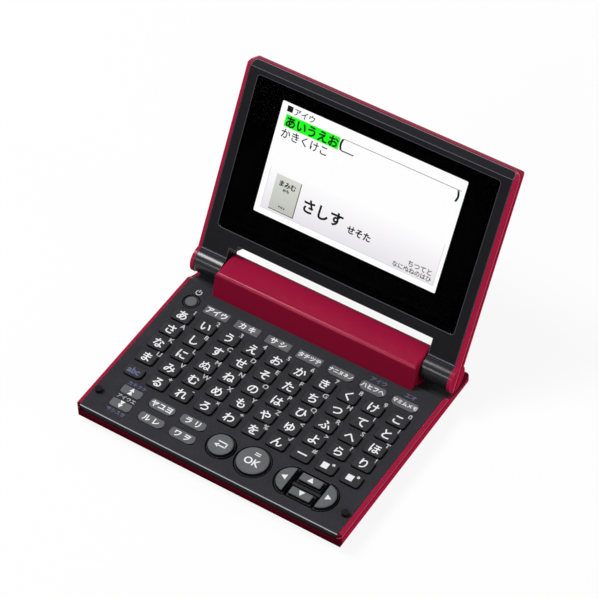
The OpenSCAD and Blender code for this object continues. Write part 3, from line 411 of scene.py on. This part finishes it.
# %% The lacquers
CASE_SEAM_Z = 7.7
LID_SEAM_Z = panel_low.z / MM + 1.2

# Each lacquer paints its own light on the walls: a painted shade on the barrel's, a painted light on the lid's and
# the case's
red_lacquer = lacquer("wine red lacquer", painted_edge_highlight=0.35, painted_wall_light=0.9)
lid_lacquer = lacquer("wine red lid lacquer", painted_edge_highlight=0.9, painted_wall_light=1.8,
                      seam=(lid_frame, LID_SEAM_Z, 0.5))
case_lacquer = lacquer("wine red case lacquer", painted_edge_highlight=0.9, painted_wall_light=1.9,
                       dark_front=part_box("lower_case")[0].y / MM,
                       seam=(Matrix.Identity(4), CASE_SEAM_Z, 0.45))
print("lacquers:", [m.name for m in (red_lacquer, lid_lacquer, case_lacquer)])

# %% [markdown]
# ## Metal, rubber, board and film
# Most of these are inside the case and show only through the slot or with the door open, yet each
# has its own finish: brushed steel, turned brass, matt rubber, a green board, an amber cable.
# One function makes the metals, with a noise drawn out along one axis for the brushing.

# %% Inner finishes
def metal(name, colour, roughness, stretch=(0.08, 1.0, 1.0)):
    """Brushed metal, with its lines along the axis whose stretch is the smallest."""
    finish = Finish(name, {"Metallic": 1.0})
    brushing = finish.noise(finish.vector("MULTIPLY", finish.place_mm(), stretch), 0.15)
    finish.feed("Base Color", finish.blend(brushing, shade(colour, 0.85), shade(colour, 1.1)))
    finish.feed("Roughness", roughness + brushing * 0.15)
    finish.bump(brushing, 0.003, 0.4)
    return finish.material


rubber = moulded("black rubber", rgb(0.004, 0.004, 0.005), roughness=0.45, specular=0.2,
                 grain_mm=0.2, depth_mm=0.004)
board = moulded("green board", rgb(0.02, 0.13, 0.05), roughness=0.35, specular=0.5,
                grain_mm=0.8, depth_mm=0.01, contrast=0.35)
sheet_rubber = moulded("silicone sheet", rgb(0.55, 0.55, 0.50), roughness=0.45, specular=0.5,
                       grain_mm=0.3, depth_mm=0.005)
film = moulded("amber film", rgb(0.45, 0.18, 0.04), roughness=0.30, specular=0.5,
               grain_mm=1.0, depth_mm=0.004, contrast=0.25)
guide = moulded("white light guide", rgb(0.80, 0.80, 0.80), roughness=0.25, specular=0.5,
                grain_mm=0.8, depth_mm=0.005, contrast=0.05)
steel = metal("brushed steel", rgb(0.55, 0.55, 0.56), roughness=0.28)
cell_can = metal("steel can", rgb(0.62, 0.62, 0.64), roughness=0.22, stretch=(1.0, 1.0, 0.1))
brass = metal("turned brass", rgb(0.60, 0.45, 0.20), roughness=0.25)
print("inner finishes:", [m.name for m in (rubber, board, sheet_rubber, film, guide, steel,
                                           cell_can, brass)])

# %% [markdown]
# ## The glossy front of the lid
# The lens is clear acrylic with a low-reflection coat over a black print, so the border round the
# picture looks almost black from every side. Transmission keeps it clear, and the low index of
# refraction stands for the coat. The black print keeps a trace of grain.

# %% Lens and black print
lens_glass = Finish("clear lens", {"Transmission Weight": 1.0, "IOR": 1.08,
                                   "Base Color": rgb(1, 1, 1)})
smear = lens_glass.noise(lens_glass.place_mm(), 12.0)
lens_glass.feed("Roughness", smear * 0.02)

black_print = Finish("black print", {"Specular IOR Level": 0.0})
speck = black_print.noise(black_print.place_mm(), 0.3)
black_print.feed("Base Color", black_print.blend(speck, rgb(0.0005, 0.0005, 0.0005),
                                                 rgb(0.0015, 0.0015, 0.0015)))
black_print.feed("Roughness", 0.35 + speck * 0.1)
print("lens and print:", lens_glass.material.name, "over", black_print.material.name)

# %% [markdown]
# ## The colours of the display
# The display is lit from behind, so its colours are emission and don't need a lamp. Each has the
# faint columns of its dots. A tinted area has a slow change up the lid in their place.

# %% Lit colours
DOT_MM = 0.18


def lit(name, low, high, heights=None):
    """A lit colour with its columns of dots, or with a change between two heights in mm."""
    finish = Finish(name, {"Base Color": rgb(0, 0, 0), "Roughness": 0.4,
                           "Specular IOR Level": 0.1, "Emission Strength": 1.0})
    place = finish.place_mm()
    if heights:
        foot, head = heights
        share = ((finish.along(place, "Z") - foot) / (head - foot)).clamped()
    else:
        phase = finish.along(place, "X") * (2 * math.pi / DOT_MM)
        share = phase.sine() * 0.5 + 0.5
    finish.feed("Emission Color", finish.blend(share, low, high))
    return finish.material


page_white = lit("lit page", rgb(0.97, 0.97, 0.97), rgb(1, 1, 1))
page_green = lit("lit green", rgb(0.01, 0.92, 0.01), rgb(0.02, 1.0, 0.02))
page_grey = lit("lit grey line", rgb(0.50, 0.50, 0.52), rgb(0.56, 0.56, 0.58))
page_black = lit("dark dots", rgb(0.002, 0.002, 0.002), rgb(0.006, 0.006, 0.006))
print("display colours:", [m.name for m in (page_white, page_green, page_grey, page_black)])

# %% [markdown]
# ## Finishes on the solids
# Each CAD solid names its slot in the record, so one table from slot to finish dresses them all,
# and a second one holds the three that have a finish of their own.
# The solids keep their meshes; only their material slots change.

# %% Dress the CAD solids
FINISH_OF_SLOT = {
    "case_red": red_lacquer, "cover_dark": cover_plastic, "key_dark": dark_key_plastic,
    "key_grey": grey_key_plastic, "inner_black": inner_plastic, "cell_silver": cell_can,
    "contact_steel": steel, "board_green": board, "sheet_rubber": sheet_rubber,
    "screw_steel": steel, "rubber_black": rubber, "hinge_steel": steel, "sleeve_brass": brass,
    "cable_film": film, "lens_clear": lens_glass.material, "mask_black": black_print.material,
    "panel_glass": page_white, "backlight_white": guide,
}
FINISH_OF_NODE = {"lid_bezel": bezel_plastic, "lid_shell": lid_lacquer, "lower_case": case_lacquer}


def dress(piece, material):
    """Sets the material in every slot of a piece, and makes a slot where it has none."""
    if not piece.material_slots:
        piece.data.materials.append(material)
    for place in piece.material_slots:
        place.material = material


for part in frame["record"]["subparts"]:
    node = part["node"]
    dress(nodes[node], FINISH_OF_NODE.get(node) or FINISH_OF_SLOT[part["material_slot"]])

# %% [markdown]
# ## Letters as meshes
# Letters come from Blender's own font, turned to meshes, because a text object's curves can't be
# joined or thickened as freely. The same syllable at the same weight is made only once.

# %% Letters
letter_cache = {}


def letter_mesh(text, weight):
    """Points and faces of the letters as a closed mesh of size one, one unit thick, centred in x.
    The weight fattens their strokes."""
    if (text, weight) in letter_cache:
        return letter_cache[text, weight]
    curve = bpy.data.curves.new("letters", "FONT")
    curve.body, curve.align_x = text, "CENTER"
    curve.offset, curve.extrude, curve.resolution_u = weight, 0.5, 3
    holder = bpy.data.objects.new("letters", curve)
    bpy.context.scene.collection.objects.link(holder)
    ready = holder.evaluated_get(bpy.context.evaluated_depsgraph_get())
    mesh = bpy.data.meshes.new_from_object(ready)
    points = [v.co.copy() for v in mesh.vertices]
    faces = [tuple(p.vertices) for p in mesh.polygons]
    bpy.data.objects.remove(holder)
    bpy.data.curves.remove(curve)
    bpy.data.meshes.remove(mesh)
    letter_cache[text, weight] = (points, faces)
    return points, faces


print("a letter has", len(letter_mesh("O", 0.0)[0]), "points")

# %% [markdown]
# ## Printed marks
# A print is a film of ink a few hundredths of a millimetre thick. Each mark becomes a thin closed
# prism, and all marks of one ink on one body join into one mesh, so a key's mark goes down with it.

# %% Marks and prints
INK_THICK = 0.03 * MM
LETTER_MIDDLE = 0.37


class Print:
    """Marks of one ink on one body, joined into one piece."""

    def __init__(self, name, body, ink, slot):
        self.name, self.body, self.ink, self.slot = name, body, ink, slot
        self.points, self.faces = [], []

    def add(self, points, faces, place):
        """Joins a mesh, given in metres, at a place."""
        first = len(self.points)
        self.points += [place @ p for p in points]
        self.faces += [tuple(first + i for i in face) for face in faces]

    def letters(self, text, size, place, weight=0.012):
        """Letters of a size in millimetres, their middle at the place."""
        points, faces = letter_mesh(text, weight)
        size = size * MM
        scaled = [Vector((p.x * size, (p.y - LETTER_MIDDLE) * size, (p.z + 0.5) * INK_THICK))
                  for p in points]
        self.add(scaled, faces, place)

    def outline(self, corners, place, thick=INK_THICK):
        """A flat shape from its corners in millimetres, anticlockwise."""
        n = len(corners)
        points = [Vector((x * MM, y * MM, z)) for z in (0, thick) for x, y in corners]
        walls = [(i, (i + 1) % n, n + (i + 1) % n, n + i) for i in range(n)]
        self.add(points, [tuple(range(n))[::-1], tuple(range(n, 2 * n))] + walls, place)

    def bar(self, w, h, place, thick=INK_THICK):
        """A rectangle, its middle at the place."""
        self.outline([(-w / 2, -h / 2), (w / 2, -h / 2), (w / 2, h / 2), (-w / 2, h / 2)], place, thick)

    def arc(self, radius, width, start, stop, place, steps=20):
        """Part of a ring, between two angles in degrees, in short straight steps."""
        angles = [math.radians(start + (stop - start) * i / steps) for i in range(steps + 1)]
        for a, b in zip(angles, angles[1:]):
            rim = [(r * math.cos(t), r * math.sin(t)) for r, t in
                   ((radius - width / 2, a), (radius + width / 2, a),
                    (radius + width / 2, b), (radius - width / 2, b))]
            self.outline(rim, place)

    def finish(self):
        """Makes the piece, welds its letters' doubled points and sets it on its body."""
        mesh = bpy.data.meshes.new(self.name)
        mesh.from_pydata(self.points, [], self.faces)
        clean = bmesh.new()
        clean.from_mesh(mesh)
        bmesh.ops.remove_doubles(clean, verts=clean.verts, dist=0.0005 * MM)
        bmesh.ops.recalc_face_normals(clean, faces=clean.faces)
        clean.to_mesh(mesh)
        clean.free()
        mesh.materials.append(self.ink)
        piece = bpy.data.objects.new(self.name, mesh)
        bpy.context.scene.collection.objects.link(piece)
        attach(piece, self.body)


print("a print is", INK_THICK / MM, "mm thick")

# %% Inks
def ink(name, colour):
    """Screen-printed ink: almost flat, with the mottle of a thin film."""
    return moulded(name, colour, roughness=0.45, specular=0.3,
                   grain_mm=0.25, depth_mm=0.002, contrast=0.06)


white_ink = ink("white ink", rgb(0.78, 0.78, 0.80))
pale_ink = ink("pale ink", rgb(0.50, 0.50, 0.52))
blue_ink = ink("blue ink", rgb(0.12, 0.13, 0.24))
print("inks:", [m.name for m in (white_ink, pale_ink, blue_ink)])

# %% [markdown]
# ## Syllable keys
# Each key carries one syllable, heavy and white, and a smaller letter, digit or sign is printed
# on the cover beside it. Both run in plain order from the upper left, as on any generic
# keyboard: the syllables row by row, then digits, letters and signs.
# The row's solid gives the keys' height and middle line. The columns stand at an even pitch, and
# a row with fewer keys ends at the same last column.

# %% Print the syllable rows
COLUMNS = 10
COLUMN_PITCH = 10
SYLLABLES = ["あいうえおかきくけこ", "さしすせそたちつてと", "なにぬねのはひふへほ",
             "まみむめもやゆよらり", "るれろわをんー■■"]
SMALL_MARKS = ["1234567890", "ABCDEFGHIJ", "KLMNOPQRST", "UVWXYZ<>?!", "+-×÷%√#゛゜"]
SYLLABLE_SIZE = 4.5
SMALL_SIZE = 2.8
SMALL_SHIFT = flat_at(2.7, 3.95, 0)


def middle(node):
    """Middle of a key in millimetres, and the height of its top in metres."""
    low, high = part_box(node)
    return (low.x + high.x) / 2 / MM, (low.y + high.y) / 2 / MM, high.z


def column_x(column):
    """The x of a column of keys in millimetres, with the columns spread about the middle."""
    return (column - (COLUMNS - 1) / 2) * COLUMN_PITCH


cover_print = Print("cover_print", "base", pale_ink, "key_grey")
for row, (syllables, marks) in enumerate(zip(SYLLABLES, SMALL_MARKS), start=1):
    node = f"syllable_row_{row}"
    _, y, top = middle(node)
    row_print = Print(f"syllables_{row}", node, white_ink, "key_grey")
    first = COLUMNS - len(syllables)
    for column, (syllable, mark) in enumerate(zip(syllables, marks), start=first):
        x = column_x(column)
        key_top = flat_at(x, y, top)
        if syllable == "■":
            # The voicing keys carry a plain square and their own small mark
            row_print.bar(2.5, 2.5, key_top @ flat_at(-0.7, 0, 0))
            row_print.letters(mark, 4.0, key_top @ flat_at(3.3, 0.1, 0), 0.02)
            continue
        # The small loops of one syllable would close at the common weight
        weight = 0.008 if syllable == "ぬ" else 0.018
        row_print.letters(syllable, SYLLABLE_SIZE, key_top, weight)
        cover_print.letters(mark, SMALL_SIZE, flat_at(x, y, plate_z) @ SMALL_SHIFT, 0.02)
    row_print.finish()
print("syllable rows printed:", len(SYLLABLES))

# %% [markdown]
# ## Function, page, round and cursor keys
# The flat keys are too narrow for more than a few letters, so each has a short run of plain
# syllables. Page and cursor keys have arrows, the round ones a return arrow and a plain OK.
# Every key's mark is a print of its own, because each key goes down alone.

# %% Print the long, oval and square keys
KEY_WORDS = {"function_key_1": "アイウ", "function_key_2": "カ キ", "function_key_3": "サ シ",
             "function_key_4": "タチツテ", "function_key_5": "ナニヌネノ", "function_key_6": "ハヒフヘ",
             "function_key_7": "マミムメモ", "oval_key_1": "ヤユヨ", "oval_key_2": "ラ リ",
             "oval_key_3": "ル レ", "oval_key_4": "ワ ヲ"}
WORD_SIZE = {3: 3.0, 4: 2.35, 5: 2.0}


def key_print(node, ink_used=white_ink):
    """A print that rides on the key, and the place at the middle of the key's top."""
    x, y, top = middle(node)
    return Print(node.replace("_key", "_mark"), node, ink_used, "key_grey"), flat_at(x, y, top)


for node, word in KEY_WORDS.items():
    mark, place = key_print(node)
    mark.letters(word, WORD_SIZE[len(word)], place, 0.03)
    mark.finish()

mark, place = key_print("symbol_key", blue_ink)
mark.letters("abc", 3.6, place, 0.03)
mark.finish()
print("keys with syllables:", len(KEY_WORDS))


# %% Print the keys with arrows
def arrow_head(size, direction):
    """A triangle that points along one of the four directions, in degrees."""
    turn = Matrix.Rotation(math.radians(direction), 2)
    corners = [(-0.45, -0.5), (0.45, 0.0), (-0.45, 0.5)]
    return [tuple(turn @ Vector(c) * size) for c in corners]


for node, direction in (("cursor_left_key", 180), ("cursor_right_key", 0),
                        ("cursor_up_key", 90), ("cursor_down_key", 270)):
    mark, place = key_print(node)
    mark.outline(arrow_head(2.3, direction), place)
    mark.finish()

for node, direction in (("page_up_key", 90), ("page_down_key", 270)):
    mark, place = key_print(node)
    for shift in (-0.75, 0.75):
        mark.outline(arrow_head(1.9, direction), place @ Matrix.Translation((0, shift * MM, 0)))
    mark.finish()

# The return arrow: its upper bar, the short bar down, and the lower bar that ends in the head
mark, place = key_print("back_key")
mark.bar(3.6, 0.5, place @ flat_at(0.4, 1.0, 0))
mark.bar(0.5, 2.0, place @ flat_at(2.2, 0.25, 0))
mark.bar(3.2, 0.5, place @ flat_at(0.8, -0.75, 0))
mark.outline(arrow_head(1.8, 180), place @ flat_at(-1.3, -0.75, 0))
mark.finish()

# Two short bars stand over the letters
mark, place = key_print("enter_key")
mark.letters("OK", 4.0, place @ flat_at(0, -0.6, 0), 0.02)
for rise in (2.5, 3.3):
    mark.bar(2.2, 0.36, place @ flat_at(0.3, rise, 0))
mark.finish()

# %% [markdown]
# ## Marks on the cover
# The power key's sign stands on the cover over it, an open ring with a bar, and a label stands
# between the two page keys. Both are pale grey, so they join the small marks of the syllable keys
# in one print.

# %% Print the cover
PAGE_LABEL_SIZE = 1.95

power_x, power_y, _ = middle("power_key")
sign = flat_at(power_x, power_y + 4.9, plate_z)
cover_print.arc(1.05, 0.38, 120, 420, sign)
cover_print.bar(0.38, 1.3, sign @ flat_at(0, 0.85, 0))

page_x, page_up_y, _ = middle("page_up_key")
_, page_down_y, _ = middle("page_down_key")
cover_print.letters("アイウエ", PAGE_LABEL_SIZE,
                    flat_at(page_x, (page_up_y + page_down_y) / 2, plate_z), 0.01)
cover_print.finish()
print("small marks on the cover:", len(cover_print.faces), "faces")

# %% [markdown]
# ## Painted shade of the key wells
# The round keys and the cursor keys stand in narrow wells, which show as a dark ring of shade on
# the cover around each key. A side key of the cursor group is a segment of a circle: its radius
# follows from its chord and its depth. Bars and arcs of the black print draw the rings as painted
# shade, since their depth can't be seen.

# %% Draw the painted shade of the key wells
WELL_GAP = 0.3
WELL_WIDTH = 0.35


def key_size(node):
    """Width and depth of a key in millimetres."""
    low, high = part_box(node)
    return (high.x - low.x) / MM, (high.y - low.y) / MM


# The rings are painted shade in black print
wells = Print("key_wells", "base", black_print.material, "inner_black")
for node in ("back_key", "enter_key", "power_key"):
    x, y, _ = middle(node)
    wells.arc(key_size(node)[0] / 2 + WELL_GAP, WELL_WIDTH, 0, 360, flat_at(x, y, plate_z), 48)

for node, side in (("cursor_left_key", -1), ("cursor_right_key", 1)):
    x, y, _ = middle(node)
    deep, chord = key_size(node)
    radius = (chord * chord / 4 + deep * deep) / (2 * deep)
    spread = math.degrees(math.asin(chord / 2 / radius))
    facing = 90 - 90 * side
    wells.arc(radius + WELL_GAP, WELL_WIDTH, facing - spread, facing + spread,
              flat_at(x + side * (deep / 2 - radius), y, plate_z), 30)
    wells.bar(WELL_WIDTH, chord, flat_at(x - side * (deep / 2 + WELL_GAP), y, plate_z))

for node in ("cursor_up_key", "cursor_down_key"):
    x, y, _ = middle(node)
    w, h = key_size(node)
    for side in (-1, 1):
        wells.bar(w + 2 * WELL_GAP + WELL_WIDTH, WELL_WIDTH,
                  flat_at(x, y + side * (h / 2 + WELL_GAP), plate_z))
        wells.bar(WELL_WIDTH, h + 2 * WELL_GAP - WELL_WIDTH,
                  flat_at(x + side * (w / 2 + WELL_GAP), y, plate_z))
wells.finish()
print("key wells:", len(wells.faces), "faces")

# %% [markdown]
# ## Blue labels
# The labels outside the page keys and over the last two function keys are a dim blue that keeps
# back behind the white syllables. They have an ink of their own, and so a print of their own.

# %% Print the blue labels
blue_print = Print("cover_print_blue", "base", blue_ink, "key_grey")
blue_print.letters("カキクケ", PAGE_LABEL_SIZE, flat_at(page_x + 0.1, page_up_y + 3.25, plate_z))
blue_print.letters("サシスセ", PAGE_LABEL_SIZE, flat_at(page_x + 0.1, page_down_y - 3.3, plate_z))
for node, word in (("function_key_6", "アイウ"), ("function_key_7", "エオ")):
    x, y, _ = middle(node)
    blue_print.letters(word, 2.3, flat_at(x, y + 4.0, plate_z))
blue_print.finish()
print("blue labels:", len(blue_print.faces), "faces")

# %% [markdown]
# ## The lit page
# The display shows a white page: a heading with a square, a green bar on the chosen line with a
# long bracket beside it, a second line, and below them a pale band with a small book.
# All wording is plain syllables in order. Each colour is one thin piece just above the panel, all
# in the lid's own frame, and what lies over another colour lies a layer higher.

# %% Colour the page
panel_z = panel_high.z
LAYER = 0.02 * MM
BAND_LEFT, BAND_RIGHT, BAND_FOOT, BAND_HEAD = -35.5, 35.8, 28.6, 44.6


def heights_at(*places):
    """Height above the floor, in mm, of places up the lid."""
    return [(lid_frame @ Vector((0, s * MM, panel_z))).z / MM for s in places]


band = Print("page_band", "lid", None, "panel_glass")
band.ink = lit("lit pale band", rgb(0.80, 0.78, 0.82), rgb(0.99, 0.98, 0.99),
               heights_at(BAND_FOOT, BAND_HEAD))
band.outline([(BAND_LEFT, BAND_FOOT), (BAND_RIGHT, BAND_FOOT), (BAND_RIGHT, BAND_HEAD),
              (BAND_LEFT, BAND_HEAD)], lid_at(0, 0, panel_z), LAYER)
band.finish()

page_lines = Print("page_lines", "lid", page_grey, "panel_glass")
for w, h, x, s in ((71.3, 0.14, 0.15, BAND_FOOT), (0.14, 16, BAND_RIGHT, 36.6),
                   (0.12, 16, BAND_LEFT, 36.6)):
    page_lines.bar(w, h, lid_at(x, s, panel_z + LAYER), LAYER)
page_lines.finish()

chosen = Print("page_chosen_line", "lid", page_green, "panel_glass")
chosen.bar(22.5, 4.6, lid_at(-23.95, 62.4, panel_z), LAYER)
chosen.finish()
print("page colours: band", BAND_RIGHT - BAND_LEFT, "by", BAND_HEAD - BAND_FOOT, "mm")

# %% The small book
book_cover = Print("page_book", "lid", None, "panel_glass")
book_cover.ink = lit("lit book", rgb(0.52, 0.53, 0.49), rgb(0.68, 0.69, 0.65),
                     heights_at(29.6, 42.9))
book_cover.bar(10.2, 13.3, lid_at(-27.4, 36.2, panel_z + LAYER), LAYER)
book_cover.finish()

page_shadow = lit("lit shadow line", rgb(0.10, 0.10, 0.09), rgb(0.14, 0.14, 0.13))
book_edge = Print("page_book_edge", "lid", page_shadow, "panel_glass")
book_edge.bar(0.35, 13.3, lid_at(-22.2, 36.1, panel_z + LAYER), 1.5 * LAYER)
book_edge.bar(10.4, 0.3, lid_at(-27.3, 29.5, panel_z + LAYER), 1.5 * LAYER)
book_edge.finish()
print("book:", len(book_cover.faces) + len(book_edge.faces), "faces")

# %% The page's syllables
LIGHT, HEAVY = 0.012, 0.03
PAGE_TEXT = (  # text, size, x and s in millimetres, weight
    ("アイウ", 3.0, -28.2, 66.6, LIGHT), ("あいうえお", 4.4, -23.95, 62.3, HEAVY),
    ("かきくけこ", 3.95, -25.6, 57.7, LIGHT), ("さしす", 5.7, -11.6, 36.1, HEAVY),
    ("せそた", 3.3, 3.9, 34.7, HEAVY), ("ちつてと", 2.5, 29.5, 32.6, LIGHT),
    ("なにぬねのはひ", 2.25, 26.8, 30.2, LIGHT), ("まみむ", 2.4, -27.4, 40.0, HEAVY),
    ("めも", 1.4, -27.4, 37.9, HEAVY), ("やゆよ", 1.0, -27.4, 31.4, HEAVY))
TEXT_Z = panel_z + 3 * LAYER - INK_THICK / 2

words = Print("page_words", "lid", page_black, "panel_glass")
words.bar(2.3, 2.2, lid_at(-34.3, 66.8, panel_z), LAYER)
for text, size, x, s, weight in PAGE_TEXT:
    words.letters(text, size, lid_at(x, s, TEXT_Z), weight)
print("texts on the page:", len(PAGE_TEXT))

# %% The bracket of the chosen line
BRACKET_HALF, BRACKET_BULGE, BRACKET_WEIGHT = 2.1, 0.55, 0.4
BRACKET_STEPS = 8

# A long thin line over the gap between the two curves, and a short bar where writing goes on
for w, h, x, s in ((47.5, 0.18, 12.2, 64.75), (5.2, 0.42, -8.9, 60.4)):
    words.bar(w, h, lid_at(x, s, panel_z), LAYER)
# The right curve is the left one mirrored, which turns its corners round
for side, x in ((1, -9.4), (-1, 32.5)):
    curve = lid_at(x, 62.5, panel_z) @ Matrix.Scale(side, 4, (1, 0, 0))
    for k in range(BRACKET_STEPS):
        low, high = (-BRACKET_HALF + 2 * BRACKET_HALF * (k + d) / BRACKET_STEPS for d in (0, 1))
        x_low, x_high = (-2.2 - BRACKET_BULGE * math.cos(t / BRACKET_HALF * math.pi / 2)
                         for t in (low, high))
        corners = [(x_low - BRACKET_WEIGHT, low), (x_low + BRACKET_WEIGHT, low),
                   (x_high + BRACKET_WEIGHT, high), (x_high - BRACKET_WEIGHT, high)]
        words.outline(corners if side > 0 else corners[::-1], curve, LAYER)
words.finish()
print("dark dots of the page:", len(words.faces), "faces")

# %% [markdown]
# ## Floor and light
# The photograph is a cut-out on white: soft light from above and behind on the left, which leaves
# the keys' near walls dark, and a pale surround. The floor is a plain matt sheet. To the camera it
# is mostly white of its own, so the background needs no extra light and the shadow stays.

# %% Floor
FLOOR_REACH = 4.0

floor_mesh = bpy.data.meshes.new("floor")
floor_mesh.from_pydata([(x * FLOOR_REACH, y * FLOOR_REACH, 0)
                        for x, y in ((-1, -1), (1, -1), (1, 1), (-1, 1))], [], [(0, 1, 2, 3)])
floor = bpy.data.objects.new("floor", floor_mesh)
bpy.context.scene.collection.objects.link(floor)

floor_finish = Finish("pale floor", {"Roughness": 0.9, "Specular IOR Level": 0.0})
paper = floor_finish.noise(floor_finish.place_mm(), 30.0)
seen = floor_finish.node("ShaderNodeLightPath", output="Is Camera Ray")
for ray in ("Is Glossy Ray", "Is Transmission Ray"):
    seen = seen.larger(floor_finish.node("ShaderNodeLightPath", output=ray))
matt = floor_finish.blend(paper, rgb(0.32, 0.32, 0.32), rgb(0.35, 0.35, 0.35))
floor_finish.feed("Base Color", floor_finish.blend(seen, matt, rgb(0.85, 0.85, 0.85)))
glow = floor_finish.node("ShaderNodeEmission", None, {"Color": rgb(1, 1, 1), "Strength": 1.0})
surface = floor_finish.node("ShaderNodeMixShader", None, {
    0: seen * 0.9, 1: Wire(floor_finish, floor_finish.shader.outputs[0]), 2: glow})
output = floor_finish.tree.nodes["Material Output"]
floor_finish.tree.links.new(surface.socket, output.inputs["Surface"])
floor_mesh.materials.append(floor_finish.material)
print("floor:", 2 * FLOOR_REACH, "m across")

# %% Sky and lamps
sky = bpy.data.worlds.new("pale surround")
sky.use_nodes = True
sky.node_tree.nodes["Background"].inputs["Color"].default_value = rgb(0.34, 0.34, 0.34)
sky.node_tree.nodes["Background"].inputs["Strength"].default_value = 1.0
bpy.context.scene.world = sky


def soft_lamp(name, place, aim, size, watts):
    """A round area lamp that faces a point; its size and places are in metres."""
    lamp = bpy.data.lights.new(name, "AREA")
    lamp.shape, lamp.size, lamp.energy = "DISK", size, watts
    holder = bpy.data.objects.new(name, lamp)
    holder.location = place
    holder.rotation_euler = (Vector(aim) - Vector(place)).to_track_quat("-Z", "Y").to_euler()
    bpy.context.scene.collection.objects.link(holder)


soft_lamp("upper_lamp", (-0.66, -0.14, 1.20), (0, 0.02, 0), 0.5, 14.0)
soft_lamp("front_left_lamp", (-0.45, -1.0, 0.70), (0, 0.02, 0.02), 0.2, 1.8)
soft_lamp("right_lamp", (1.1, 0.1, 0.25), (0, 0.04, 0.05), 0.4, 4.5)
print("lamps:", [lamp.name for lamp in bpy.data.lights])

# %% Finish
print("scene built")
